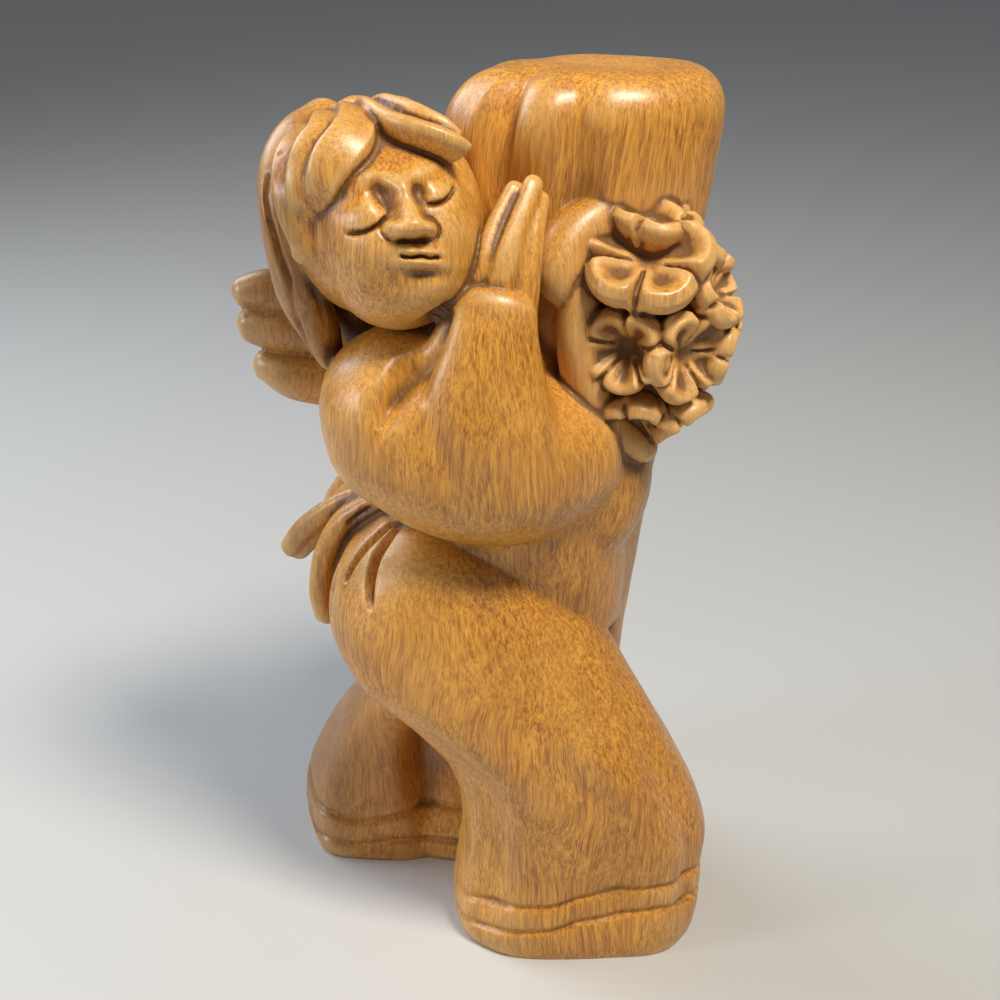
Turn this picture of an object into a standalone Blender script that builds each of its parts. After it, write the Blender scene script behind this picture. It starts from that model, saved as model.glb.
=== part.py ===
"""A carved wooden cherub hugging a lobed column, with a bouquet at its side.

The figurine is one block of wood, so it is one solid. Each form of the carving is a closed
shell: tubes that follow a spine, ellipsoids and scooped petals. The soft forms are fused and
smoothed in groups, as a carver sands them, and the crisp ones are then fused on.

Frame: +Z up, +X to the right and +Y away from whoever faces the figurine. The origin is on
the table, at the middle of the figurine's box. Positions are in carving units, about one
three-hundredth of the figurine's height, or one millimetre at its real size.
"""

import math

import bmesh
import bpy
import numpy as np
from mathutils import Matrix, Vector

# Driving sizes, in metres.
HEIGHT = 0.300
HEM_GROOVE_DEPTH = 0.0014
HEM_GROOVE_WIDTH = 0.0016
PLEAT_DEPTH = 0.0040

# The carving's own unit: the pose and proportions are shares of the height.
UNIT = HEIGHT / 300

# Fineness, in carving units: the grids on which the soft and the crisp forms are fused, and how
# far their creases are sanded. FORM_SIDES multiplies the sides and steps of every form.
SOFT_VOXEL = 2.0
CRISP_VOXEL = 1.3
SOFT_BLEND = 4.0
CRISP_BLEND = 1.163
FORM_SIDES = 1

# Triangles of the finished solid. The face and the near flowers keep more of them.
TRIANGLES = 9600
SPARED_WEIGHT = 0.9
SPARED_FACTOR = 1.0

# How far the gown goes below the table before the underside is cut flat.
FLOOR_ALLOWANCE = 4.0

WOOD_COLOUR = (0.46, 0.25, 0.10, 1.0)
WOOD_ROUGHNESS = 0.42

# Column that the cherub hugs: (height, centre x, centre y, half width, half depth).
COLUMN_STATIONS = [
    (40, 22, 24, 16, 16),
    (105, 26, 30, 18, 18),
    (165, 27, 28, 25, 23),
    (210, 27, 27, 32, 27),
    (250, 25.5, 27, 39.5, 30),
    (280, 25, 27, 44.5, 32),
    (300, 25, 27, 46, 33),
]
COLUMN_TOP = 298.0
COLUMN_RIM_RADIUS = 14.0
COLUMN_LEFT_ROUNDING = 12.0
# Flutes of the column: (angle in degrees, half width in degrees, depth, height they reach down to).
COLUMN_FLUTES = [
    (-93, 7, 6.0, 110),
    (-131, 9, 14.0, 248),
    (-152, 6, 3.5, 262),
    (165, 10, 4.0, 240),
    (112, 9, 4.5, 150),
    (60, 12, 4.0, 230),
]

# Heights of the two hem lines round the near side, by angle in degrees, and round the far side.
NEAR_HEM_ANGLES = [-180, -150, -125, -105, -90, -75, -50, -20, 10, 60, 120, 180]
NEAR_HEM_UPPER = [20, 19, 22.5, 23.5, 27, 28, 30.5, 26, 23, 25, 22, 20]
NEAR_HEM_LOWER = [9, 9.5, 12, 13.5, 17, 17.5, 21, 16, 13, 15, 12, 9]
FAR_HEM_ANGLES = [-180, -150, -120, -95, -70, -30, 20, 80, 130, 180]
FAR_HEM_UPPER = [24, 21, 16.5, 19, 21, 20, 22, 24, 21, 24]
FAR_HEM_LOWER = [11, 9, 6.5, 9.5, 9, 9, 11, 13, 10, 11]
NEAR_HEM_MIDDLE = (27, 6)
FAR_HEM_MIDDLE = (-38, 58)

# Folds of the near side of the gown: (angle in degrees, half width in degrees, depth).
NEAR_FOLDS = [
    (-132, 12, 3.4),
    (-80, 11, 4.2),
    (-34, 12, 3.4),
    (15, 14, 2.4),
    (80, 16, 2.0),
    (150, 18, 2.0),
]

# Leaf-shaped locks that lie on the head, seen from its middle: (degrees towards the figure's
# right, degrees over the brow to the back, distance, half width).
LEAF_LOCKS = [
    [(-17, 112, 33, 2.5), (-21, 88, 34, 3.5), (-27, 70, 34.5, 5), (-33, 56, 35.5, 6),
     (-39, 45, 36.5, 5.5), (-44, 35, 36, 4)],
    [(-9, 112, 33, 2.2), (-11, 84, 34, 3), (-12, 64, 34.5, 4), (-14, 51, 35.5, 4.4),
     (-19, 41, 37.5, 4.4), (-26, 33, 39, 4.2), (-33, 27, 39.5, 4), (-38, 23, 39, 3.4)],
    [(14, 118, 32, 3), (18, 96, 34.5, 4.5), (28, 78, 36, 5.5), (39, 66, 36.5, 5.5), (50, 54, 35.5, 5),
     (60, 40, 33, 4.5), (66, 24, 31, 3.8), (69, 8, 30, 4), (72, -8, 30, 3.5), (74, -24, 30, 2)],
    [(7.5, 115, 33, 3), (7.5, 90, 34.5, 3.8), (16, 64, 36.5, 5.2), (27, 54, 37.5, 5.5),
     (38, 47, 36.5, 5.2), (47, 39.5, 34, 4.2), (54, 31, 30.5, 2.8), (57, 24, 28, 1.2)],
    [(-3.5, 115, 33, 2.5), (-3, 88, 34, 3.6), (1, 62, 35.5, 5), (9, 48, 37, 6), (20, 41, 37.5, 6),
     (30, 36.5, 36, 5), (39, 32.5, 33, 3.8), (47, 27.5, 29.5, 1.5)],
]
# A lock's rise over its borders, the fall of its right border, how deep it goes into the head
# and the height of its middle ridge.
LEAF_RISE = 2.6
LEAF_SLOPE = 2.6
LEAF_SINK = 8.0
LEAF_CREST = 0.2

# Long strands, fingers, feathers and cloth ends: (x, y, z, half width, half depth).
HAIR_STRANDS = [
    [(-52, 10, 284, 8, 6), (-60, 2, 279, 8, 7), (-64, -3, 270, 7.5, 7), (-64, -5, 259, 7.5, 8),
     (-62, -6, 247, 8, 8), (-60, -5, 235.5, 7.8, 8), (-56, -2, 223.5, 6.5, 7), (-52.8, 0, 213, 4, 5)],
    [(-40, 8, 286, 9, 5), (-50, 18, 276, 10, 6), (-56, 20, 258, 10, 7), (-55, 19, 236, 9, 7),
     (-50, 20, 214, 7, 6), (-45, 22, 200, 4, 4)],
    [(-32, 10, 286, 9, 5), (-36, 24, 274, 10, 6), (-39, 29, 256, 10, 7), (-39, 29, 234, 9, 7),
     (-36, 29, 212, 7, 6), (-34, 29, 198, 4, 4)],
]
FINGERS = [
    [(-5, -15, 222, 6, 5.5), (-7, -20.5, 237, 5.8, 5.2), (-4, -21, 247, 4.8, 5.2), (-1, -16, 257, 4, 5),
     (3.8, -9.5, 266.5, 3.2, 4.6)],
    [(0, -15, 222, 6, 5.5), (-0.5, -22, 238, 5.6, 5), (1.5, -21.5, 248, 4.6, 5.2),
     (5, -16.5, 258, 4, 5.2), (9.5, -9.5, 268, 3.3, 4.8)],
    [(5, -14, 222, 6, 5.5), (6.5, -20, 238, 5.6, 5), (8, -18.5, 247, 4.4, 4.8),
     (9.8, -14.5, 256, 3.6, 4.8), (12.2, -8.5, 263.5, 2.8, 4.4)],
]
NEAR_WING = [
    [(-40, 18, 222, 8, 6), (-58, 17, 228, 8.5, 5.5), (-72, 16, 230, 7, 5), (-81, 17, 229, 5.5, 4.5)],
    [(-40, 17, 210, 8, 6), (-56, 16, 215, 8.5, 6), (-70, 15, 217.5, 7.5, 5.5), (-79.5, 17, 218.5, 6, 5)],
    [(-38, 16, 196, 8, 6), (-52, 15, 200, 8.5, 6.5), (-66, 14, 202, 7.5, 6), (-75, 16, 205, 5.5, 5)],
]
FAR_WING = [
    [(-34, 26, 222, 8, 6), (-46, 38, 228, 8.5, 5.5), (-56, 50, 230, 7, 5), (-63, 58, 229, 5.5, 4.5)],
    [(-34, 26, 210, 8, 6), (-45, 37, 215, 8.5, 6), (-55, 48, 217.5, 7.5, 5.5), (-62, 56, 218.5, 6, 5)],
    [(-32, 26, 196, 8, 6), (-42, 35, 200, 8.5, 6.5), (-51, 46, 202, 7.5, 6), (-58, 53, 205, 5.5, 5)],
]
BOW_LOBES = [
    [(-40, 17, 161, 4, 3.5), (-54, 21, 152, 5, 3.4), (-65, 25, 141.5, 6, 3.6),
     (-71.5, 28, 133, 5.2, 3.4)],
    [(-38, 10, 161, 4, 4), (-50.5, 14, 150, 5.4, 4.6), (-57.5, 15.5, 137, 5.8, 4.8),
     (-60, 17, 123, 5.8, 4.8), (-59.5, 17, 114, 5.2, 4.2)],
    [(-42, 26, 160, 5, 4), (-52, 33, 149, 6, 5), (-57, 38, 135, 6.4, 4.6), (-57, 40, 121, 6, 4)],
    [(-40, 30, 162, 5, 4), (-50, 41, 153, 6, 3.6), (-56, 48, 142, 6.8, 3.8), (-59, 53, 134, 5.6, 3.4)],
]

# Incised lines: (points, half width, depth, power of the groove's profile).
PLEAT_HALF_WIDTH = 1.7
PLEAT_CUT = (PLEAT_HALF_WIDTH, PLEAT_DEPTH / UNIT, 3.0)
CUTS = [
    ([(-31, -3, 158), (-35, -2.5, 156.5), (-39.5, -4.5, 153.5), (-44.5, -6, 149), (-48.5, -7.5, 143.5),
      (-50, -9, 139)], *PLEAT_CUT),
    ([(-29, -5.5, 158.5), (-32.5, -5, 157), (-36.5, -9, 153.5), (-39.5, -12, 149.5),
      (-41.5, -17, 142.5), (-41.5, -20.5, 136)], *PLEAT_CUT),
    ([(-40, 5, 159), (-44, 7, 157), (-50, 8, 151), (-54, 6, 141.6), (-56, -2, 133),
      (-56, -5, 125)], *PLEAT_CUT),
    ([(-36, -35, 201), (-32.8, -34.4, 208.5), (-29.6, -32.5, 213), (-25, -29.1, 219.3),
      (-22.6, -28.6, 223), (-20, -28.4, 227.7), (-18, -28.3, 231.7), (-16, -28.5, 238)], 5.0, 6.0, 2.0),
    ([(-34, -34.5, 207), (-31, -33.3, 211), (-28.5, -31.8, 214.5), (-26.5, -30.4, 217)], 1.4, 1.2, 2.0),
    ([(-61, -20, 282), (-68, -9, 271), (-69, -10.4, 265.6), (-66.7, -12.9, 255.5),
      (-62.5, -13.6, 241.5), (-61, -9.8, 226.6), (-57.5, -3.7, 214.4)], 1.0, 1.8, 2.0),
    ([(-59, -14, 270), (-60, -12.2, 260.7), (-57.3, -16, 251.5), (-55.4, -11, 237.7),
      (-53.2, -8.3, 226)], 1.0, 1.6, 2.0),
]

# Bouquet: the egg-shaped mound that the flowers lie on, its smaller core, the collar over it and
# the wrap that runs down its left side.
BOUQUET_MIDDLE = (45, 2, 222.5)
BOUQUET_RADII = (26.5, 20, 36)
BOUQUET_CORE = (21, 14.5, 30.5)
COLLAR = [
    (46, 12, 258, 7, 7),
    (33, 4, 257, 8, 8),
    (22, -2, 251.5, 9, 8.5),
    (17.5, -8, 242, 7.5, 7.5),
    (20, -9, 233, 3.5, 3.5),
]
WRAP = [
    (23, -4, 243, 6, 6),
    (24, -7, 233, 7, 8),
    (24.5, -8, 220, 7.5, 8.5),
    (28, -7, 204, 7.5, 8.5),
    (35, -5, 191, 7, 7.5),
    (45, -3, 184, 5, 6),
]
# Flowers: (bearing and lift of the place on the mound, lift that it faces, radius, spin, depth
# of its cup).
FLOWERS = [
    (-96, 64, 54, 20.5, -0.49, 1.0),
    (-30, 86, 80, 14.5, 0.6, 0.8),
    (-112, -6, -2, 14, 0.3, 1.9),
    (-56, -12, -2, 15, 0.1, 1.3),
    (-105, -66, -50, 12.5, 0.5, 1.2),
    (-22, 30, 30, 12, 0.8, 1.4),
    (-30, -64, -50, 12, 0.2, 1.2),
    (8, 54, 50, 11, 0.0, 1.2),
    (-12, -16, -16, 11.5, 0.5, 1.4),
    (35, 4, 4, 11, 0.3, 1.2),
    (30, -40, -40, 11, 0.9, 1.2),
    (45, 44, 44, 11, 0.7, 1.2),
    (-155, -42, -42, 9, 0.4, 1.0),
]


def vector(*xyz):
    return np.array(xyz, float)


def smoothstep(x, low, high):
    t = np.clip((np.asarray(x, float) - low) / (high - low), 0.0, 1.0)
    return t * t * (3 - 2 * t)


def spline(stations, count):
    """Points of a Catmull-Rom curve through the stations, which may carry radii beside positions."""
    p = np.asarray(stations, float)
    p = np.vstack([2 * p[0] - p[1], p, 2 * p[-1] - p[-2]])
    spans = len(p) - 3
    found = []
    for s in np.linspace(0, spans - 1e-9, count):
        i = int(s)
        t = s - i
        a, b, c, d = p[i : i + 4]
        found.append(
            0.5
            * (2 * b + (c - a) * t + (2 * a - 5 * b + 4 * c - d) * t**2 + (3 * b - a - 3 * c + d) * t**3)
        )
    return np.array(found)


class Shell:
    """Closed shapes gathered in one mesh, in carving units."""

    def __init__(self):
        self.points = []
        self.faces = []

    def loft(self, rings):
        """Skins a row of rings of equal length and closes both ends on their middles."""
        rings = [np.asarray(ring, float) for ring in rings]
        start = len(self.points)
        count = len(rings[0])
        for ring in rings:
            self.points.extend(ring)
        for r in range(len(rings) - 1):
            for k in range(count):
                a = start + r * count + k
                b = start + r * count + (k + 1) % count
                self.faces.append((a, b, b + count, a + count))
        for ring, first, turn in ((rings[0], start, -1), (rings[-1], start + (len(rings) - 1) * count, 1)):
            middle = len(self.points)
            self.points.append(ring.mean(axis=0))
            for k in range(count):
                pair = (first + k, first + (k + 1) % count)
                self.faces.append((*pair[::turn], middle))

    def tube(self, stations, side=(1, 0, 0), ends=(1.0, 1.0), steps=28, around=28, section=None):
        """A tube through (x, y, z, half width, half depth) stations.

        side is the way that the width points at the start, ends the roundness of the two
        caps as a share of the radius there, and section a function of the angle and the share
        of the length that scales the radius.
        """
        steps, around = steps * FORM_SIDES, around * FORM_SIDES
        line = spline(stations, steps)
        centres, radii = line[:, :3], line[:, 3:5]
        tangents = np.gradient(centres, axis=0)
        tangents /= np.linalg.norm(tangents, axis=1)[:, None]
        across = np.asarray(side, float)
        angles = np.linspace(0, 2 * math.pi, around, endpoint=False)
        frames = []
        for tangent in tangents:
            across = across - tangent * (across @ tangent)
            across /= np.linalg.norm(across)
            frames.append((across.copy(), np.cross(tangent, across)))
        rings = []

        def ring(index, scale, shift):
            wide, deep = frames[index]
            share = index / (steps - 1)
            grow = np.ones(around) if section is None else section(angles, share)
            return (
                centres[index]
                + tangents[index] * shift
                + (np.cos(angles) * grow * radii[index, 0] * scale)[:, None] * wide
                + (np.sin(angles) * grow * radii[index, 1] * scale)[:, None] * deep
            )

        cap_turns = np.radians([12, 30, 50, 70])
        start_reach = ends[0] * radii[0].mean()
        end_reach = ends[1] * radii[-1].mean()
        if start_reach > 0:
            rings += [ring(0, math.sin(t), -start_reach * math.cos(t)) for t in cap_turns]
        rings += [ring(i, 1.0, 0.0) for i in range(steps)]
        if end_reach > 0:
            rings += [ring(steps - 1, math.sin(t), end_reach * math.cos(t)) for t in cap_turns[::-1]]
        self.loft(rings)

    def stack(self, stations, around=72, levels=36, ripple=None):
        """Level sections from (height, left, right, front, back, squareness) stations."""
        levels, around = levels * FORM_SIDES, around * FORM_SIDES
        line = spline(stations, levels)
        angles = np.linspace(0, 2 * math.pi, around, endpoint=False)
        rings = []
        for z, left, right, front, back, square in line:
            x = np.sign(np.cos(angles)) * np.abs(np.cos(angles)) ** (2 / square)
            y = np.sign(np.sin(angles)) * np.abs(np.sin(angles)) ** (2 / square)
            out = 0.0 if ripple is None else ripple(angles, z)
            x = x * ((right - left) / 2 + out)
            y = y * ((back - front) / 2 + out)
            rings.append(np.stack([(left + right) / 2 + x, (front + back) / 2 + y, np.full(around, z)], 1))
        self.loft(rings)

    def ellipsoid(self, centre, radii, turn=(0, 0, 0), rings=20, around=32):
        """An ellipsoid turned by degrees about X, Y and Z."""
        rings, around = rings * FORM_SIDES, around * FORM_SIDES
        spin = Matrix.Rotation(math.radians(turn[2]), 3, "Z")
        spin = spin @ Matrix.Rotation(math.radians(turn[1]), 3, "Y")
        spin = np.array(spin @ Matrix.Rotation(math.radians(turn[0]), 3, "X"))
        angles = np.linspace(0, 2 * math.pi, around, endpoint=False)
        bands = []
        for latitude in np.linspace(-math.pi / 2, math.pi / 2, rings + 2)[1:-1]:
            ring = np.stack(
                [
                    np.cos(angles) * math.cos(latitude),
                    np.sin(angles) * math.cos(latitude),
                    np.full(around, math.sin(latitude)),
                ],
                axis=1,
            )
            bands.append(np.asarray(centre, float) + (ring * radii) @ spin.T)
        self.loft(bands)

    def mesh(self, name):
        mesh = bpy.data.meshes.new(name)
        mesh.from_pydata([tuple(p) for p in self.points], [], self.faces)
        mesh.update()
        return mesh

    def add_mesh(self, mesh):
        start = len(self.points)
        coords = np.empty(len(mesh.vertices) * 3)
        mesh.vertices.foreach_get("co", coords)
        self.points.extend(coords.reshape(-1, 3))
        self.faces.extend(tuple(start + v for v in face.vertices) for face in mesh.polygons)


def evaluated(mesh, add_modifiers, spared=None):
    """The mesh that a list of modifiers makes from this one, with a group of spared vertices."""
    guide = bpy.data.objects.new("carving_guide", mesh)
    bpy.context.scene.collection.objects.link(guide)
    if spared is not None:
        group = guide.vertex_groups.new(name="thinned")
        group.add(np.flatnonzero(~spared).tolist(), 1.0, "REPLACE")
        group.add(np.flatnonzero(spared).tolist(), SPARED_WEIGHT, "REPLACE")
    add_modifiers(guide.modifiers)
    bpy.context.view_layer.update()
    graph = bpy.context.evaluated_depsgraph_get()
    made = bpy.data.meshes.new_from_object(guide.evaluated_get(graph))
    bpy.data.objects.remove(guide)
    return made


def fused(shell, voxel, blend):
    """The shell's shapes fused into one skin, whose creases are sanded over a blend distance."""
    repeats = round(2.5 * (blend / voxel) ** 2)

    def modifiers(stack):
        remesh = stack.new("fuse", "REMESH")
        remesh.mode = "VOXEL"
        remesh.voxel_size = voxel
        if repeats:
            sand = stack.new("sand", "SMOOTH")
            sand.factor = 0.5
            sand.iterations = repeats

    return evaluated(shell.mesh("forms"), modifiers)


def column(shell):
    """The lobed column: widens upwards and ends in a flat top, rounder on the cherub's side."""
    around = 120
    angles = np.linspace(0, 2 * math.pi, around, endpoint=False)
    line = np.array(COLUMN_STATIONS, float)
    rim = COLUMN_RIM_RADIUS + COLUMN_LEFT_ROUNDING * smoothstep(-np.cos(angles), -0.2, 1.0)
    start = COLUMN_STATIONS[0][0]
    rings = []

    def ring(z, inset):
        x, y, a, b = (np.interp(z, line[:, 0], line[:, k]) for k in range(1, 5))
        radius = np.ones(around)
        for turn, half, depth, low in COLUMN_FLUTES:
            away = np.degrees(np.angle(np.exp(1j * (angles - math.radians(turn)))))
            strength = depth * smoothstep(z, low, low + 40)
            radius -= strength / a * np.exp(-((away / half) ** 2))
        a, b = a - inset, b - inset
        return np.stack([x + a * radius * np.cos(angles), y + b * radius * np.sin(angles), z], axis=1)

    for share in np.linspace(0, 1, 44):
        rings.append(ring(start + share * (COLUMN_TOP - rim - start), 0.0))
    for turn in np.radians([12, 24, 36, 48, 60, 72, 84]):
        rings.append(ring(COLUMN_TOP - rim * (1 - math.sin(turn)), rim * (1 - math.cos(turn)) * 0.9))
    rings.append(ring(np.full(around, COLUMN_TOP + 0.3), rim * 0.9 + 6))
    shell.loft(rings)


def torso_and_arms(shell):
    # The waist grows out of the column and leans towards the head.
    shell.stack(
        [
            (112, -26, 42, -6, 50, 2.1),
            (138, -32, 43, -12, 50, 2.1),
            (155, -38, 44, -16, 50, 2.1),
            (176, -44, 42, -18, 50, 2.1),
            (196, -47, 34, -17, 46, 2.1),
            (214, -44, 18, -13, 38, 2.0),
            (226, -36, 2, -7, 28, 2.0),
        ]
    )
    # The near arm: a full sleeve from the shoulder to the elbow, then up to the wrist.
    shell.ellipsoid((-30, -11, 200.5), (26, 25, 26))
    shell.tube(
        [(-30, -12, 194, 26, 24), (-14, -14, 187, 28, 25), (2, -13, 184, 28, 25), (16, -4, 183, 26, 23)],
        side=(0, 0, 1),
    )
    shell.ellipsoid((26, 8, 172), (24, 20, 34))
    shell.tube(
        [
            (0, -19, 182, 23, 21),
            (-5, -24, 197, 23, 18),
            (-6, -25, 213, 20.5, 15),
            (-4, -25, 227, 16.5, 11.5),
            (-1, -23.5, 238, 13, 9),
        ],
        ends=(1.0, 0.5),
    )
    # The far arm goes round the back of the column, and its hand lies flat on it.
    shell.tube(
        [
            (-22, 24, 206, 21, 21),
            (-10, 44, 194, 20, 19),
            (8, 60, 186, 18, 16),
            (28, 64, 192, 15, 12),
            (42, 60, 204, 11, 8),
            (50, 55, 213, 8, 5),
        ],
        side=(0, 0, 1),
    )


def hem_swell(z):
    """How far the two hem bands stand out of the gown at a height over the table."""
    return 1.2 * np.exp(-(((z - 13) / 14) ** 2))


def gown(shell):
    def near_folds(angles, z):
        hang = smoothstep(z, 6, 22) * (1 - smoothstep(z, 70, 108))
        turns = np.degrees(angles)
        folds = np.zeros_like(turns)
        for turn, half, depth in NEAR_FOLDS:
            away = (turns - turn + 180) % 360 - 180
            folds += depth * np.exp(-((away / half) ** 2))
        return hem_swell(z) - folds * (0.25 + 0.75 * hang) * (1 - smoothstep(z, 70, 120))

    # The near side falls from the hip to the wide hem.
    shell.stack(
        [
            (-FLOOR_ALLOWANCE, -12, 67, -25.5, 38, 3.2),
            (2.5, -15, 69.5, -28, 41, 3.2),
            (14, -15.5, 71, -29, 42, 3.1),
            (28, -14.5, 72, -30, 42, 2.8),
            (41, -13.5, 73, -32, 41, 2.6),
            (56, -14.5, 68.5, -34, 40, 2.4),
            (72, -20, 61, -35.5, 38, 2.25),
            (86, -32, 53, -35.5, 37, 2.2),
            (99, -48, 45, -34, 37, 2.1),
            (111, -55, 38, -32, 38, 2.1),
            (123, -57.5, 29, -30, 38, 2.1),
            (135, -55.5, 18, -27, 37, 2.1),
            (147, -49, 6, -22, 34, 2.1),
            (157, -38, -8, -13, 27, 2.0),
        ],
        around=128,
        levels=70,
        ripple=near_folds,
    )

    def far_folds(angles, z):
        return hem_swell(z) + 0.8 * np.cos(6 * angles + 1.0) * (1 - smoothstep(z, 40, 75))

    # The far side sweeps back to the left.
    shell.stack(
        [
            (-FLOOR_ALLOWANCE, -71, -18, 31, 85, 2.6),
            (2.5, -74, -18, 29, 87, 2.6),
            (14, -75, -20, 30, 86, 2.5),
            (28, -73, -25, 32, 84, 2.4),
            (45, -66, -28, 32, 79, 2.2),
            (60, -58, -26, 29, 73, 2.1),
            (76, -47, -18, 24, 66, 2.1),
            (94, -41, -8, 18, 58, 2.1),
            (118, -38, 4, 12, 50, 2.1),
        ],
        around=96,
        levels=48,
        ripple=far_folds,
    )

    # The cloth between the legs stands back, and comes forward again at the hem.
    shell.stack(
        [
            (-FLOOR_ALLOWANCE, -40, 40, 29, 78, 3.0),
            (10, -40, 40, 29, 78, 3.0),
            (22, -38, 40, 36, 76, 2.8),
            (40, -36, 40, 40, 72, 2.6),
            (64, -32, 38, 37, 66, 2.4),
            (90, -28, 34, 28, 58, 2.2),
            (116, -24, 30, 18, 50, 2.1),
        ],
        ripple=lambda angles, z: hem_swell(z),
    )


def head_frame():
    """The head's middle and its right, up and forward directions."""
    forward = Vector((0.28, -0.92, 0.27)).normalized()
    up = Vector((-0.29, 0.0, 0.95))
    up = (up - forward * up.dot(forward)).normalized()
    right = forward.cross(up)
    return vector(-31, -12, 256), np.array(right), np.array(up), np.array(forward)


def bump(u, w, at_u, at_w, wide, tall, power=2.0):
    return np.exp(-(np.abs((u - at_u) / wide) ** power) - np.abs((w - at_w) / tall) ** power)


def lid_line(u):
    """Height of the closed lids' line at u across the face: it sags towards the cheek."""
    return np.where(u > 0, 4.1 + 1.5 * ((u - 12.3) / 5.6) ** 2, 4.0 + 1.8 * ((u + 10.4) / 5.4) ** 2)


def mouth_place(u, w):
    """Position from the mouth's middle: its line is level though the head leans."""
    return u - 1.5, w + 7.9 - 0.42 * (u - 1.5)


def nose_place(u, w):
    """Position from the tip of the nose, whose base is level though the head leans."""
    return u - 1.0 + 0.19 * (w - 1.2), w - 1.0 - 0.34 * (u - 1.0)


def face_relief(u, w):
    """How far the face stands out of the plain head, at u across and w up from its middle."""
    relief = np.zeros_like(u)
    # Brows: one arc over each lid that runs into the bridge of the nose.
    brow = np.interp(u, [-20, -12, -5, 0, 3, 8, 14, 20], [12.5, 14.0, 13.6, 13.4, 16.0, 18.4, 18.0, 16.0])
    relief += 1.5 * np.exp(-(((w - brow) / 3.4) ** 2)) * np.exp(-((u / 17) ** 4))
    # Hollows beside the bridge, the wide lids and the full cheeks.
    relief -= 3.8 * bump(u, w, 4.6, 11.2, 3.0, 5.4)
    relief -= 2.4 * bump(u, w, -5.2, 8.4, 2.4, 3.2)
    relief -= 0.7 * bump(u, w, 13.5, 13.6, 6.5, 3.0)
    relief -= 0.5 * bump(u, w, -14.0, 10.0, 6.0, 2.6)
    relief += 1.2 * bump(u, w, 12.0, 8.2, 7.0, 4.2)
    relief += 1.0 * bump(u, w, -11.5, 7.2, 6.0, 3.4)
    slit = np.exp(-(((w - lid_line(u)) / 1.1) ** 2))
    relief -= 1.1 * slit * np.exp(-(((np.abs(u + 0.4) - 11.4) / 5.6) ** 4))
    relief += 2.1 * bump(u, w, 12.5, -3.5, 8.5, 7.0)
    relief += 1.9 * bump(u, w, -11.5, -4.5, 7.5, 7.5)
    # Nose: a ridge that widens to a broad tip with full wings over a flat base.
    across, over = nose_place(u, w)
    height = np.interp(
        over,
        [-4.2, -3.3, -1.5, 0.5, 2.5, 5.0, 8.0, 11.0, 14.0, 17.0],
        [0, 4.6, 7.6, 8.2, 6.8, 4.8, 3.4, 2.6, 1.2, 0],
    )
    width = np.interp(over, [-4.0, 0.0, 3.0, 6.0, 10.0, 14.0], [4.3, 4.4, 3.6, 3.0, 3.0, 3.8])
    relief += height * np.exp(-(np.abs(across / width) ** 2.6))
    relief += 4.2 * bump(across, over, -5.0, -1.1, 2.3, 2.3, 2.6)
    relief += 3.4 * bump(across, over, 4.7, -1.0, 2.2, 2.3, 2.6)
    # Mouth: small lips on a full muzzle, and a round chin.
    across, over = mouth_place(u, w)
    relief += 2.4 * bump(across, over, 0, -0.5, 8.5, 5.5)
    relief += 1.5 * bump(np.abs(across), over, 2.0, 1.5 - 0.12 * np.abs(across), 2.9, 1.15)
    relief += 1.6 * bump(across, over, 0, -2.1, 3.6, 1.3)
    relief -= 1.9 * bump(across, over, 0, -0.1, 5.0, 0.7, 2.4)
    relief -= 1.5 * bump(across, over, 0, -5.2, 5.5, 1.9)
    relief += 2.4 * bump(u, w, 2.0, -19.5, 9.0, 6.0)
    return relief


def head(shell):
    centre, right, up, forward = head_frame()
    around = 120 * FORM_SIDES
    angles = np.linspace(0, 2 * math.pi, around, endpoint=False)
    turned = np.sign(np.cos(angles)) * np.abs(np.cos(angles)) ** 0.86
    raised = np.sign(np.sin(angles)) * np.abs(np.sin(angles)) ** 0.86
    rings = []
    for latitude in np.linspace(-math.pi / 2, math.pi / 2, 110 * FORM_SIDES)[1:-1]:
        share = abs(math.cos(latitude)) ** 0.9
        u = 24.0 * turned * share
        w = 29.0 * raised * share
        depth = 25.0 * math.copysign(abs(math.sin(latitude)) ** 0.95, latitude)
        f = np.full(around, depth)
        if latitude > 0:
            f = f + face_relief(u, w) * smoothstep(latitude, 0.15, 0.6)
        rings.append(centre + u[:, None] * right + w[:, None] * up + f[:, None] * forward)
    shell.loft(rings)


def leaf_lock(shell, stations, around=36, steps=40):
    """A lock like a leaf: it stands high along one edge and slopes down to the other."""
    centre, right, up, forward = head_frame()
    centre = centre - 7 * forward + 4 * up
    line = spline(stations, steps * FORM_SIDES)
    aside, over = np.radians(line[:, 0]), np.radians(line[:, 1])
    outward = (
        np.sin(aside)[:, None] * right
        + (np.cos(aside) * np.sin(over))[:, None] * up
        + (np.cos(aside) * np.cos(over))[:, None] * forward
    )
    spine = centre + line[:, 2:3] * outward
    along = np.gradient(spine, axis=0)
    wide = np.cross(along, outward)
    wide /= np.linalg.norm(wide, axis=1)[:, None]
    angles = np.linspace(0, 2 * math.pi, around * FORM_SIDES, endpoint=False)
    share = (1 - np.cos(angles)) / 2
    crest = np.where(
        share < LEAF_CREST,
        np.sin(math.pi / 2 * np.minimum(share / LEAF_CREST, 1)) ** 0.7,
        np.cos(math.pi / 2 * np.clip((share - LEAF_CREST) / (1 - LEAF_CREST), 0, 1)) ** 0.9,
    )
    lift = np.where(np.sin(angles) >= 0, LEAF_RISE * crest, -LEAF_SINK * np.abs(np.sin(angles)) ** 0.6)
    lift = lift - LEAF_SLOPE * share
    rings = []
    for k in range(len(spine)):
        thin = min(1.0, line[k, 3] / 3.5)
        across = np.outer(np.cos(angles) * line[k, 3], wide[k])
        rings.append(spine[k] + across + np.outer(lift * thin, outward[k]))
    shell.loft(rings)


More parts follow.
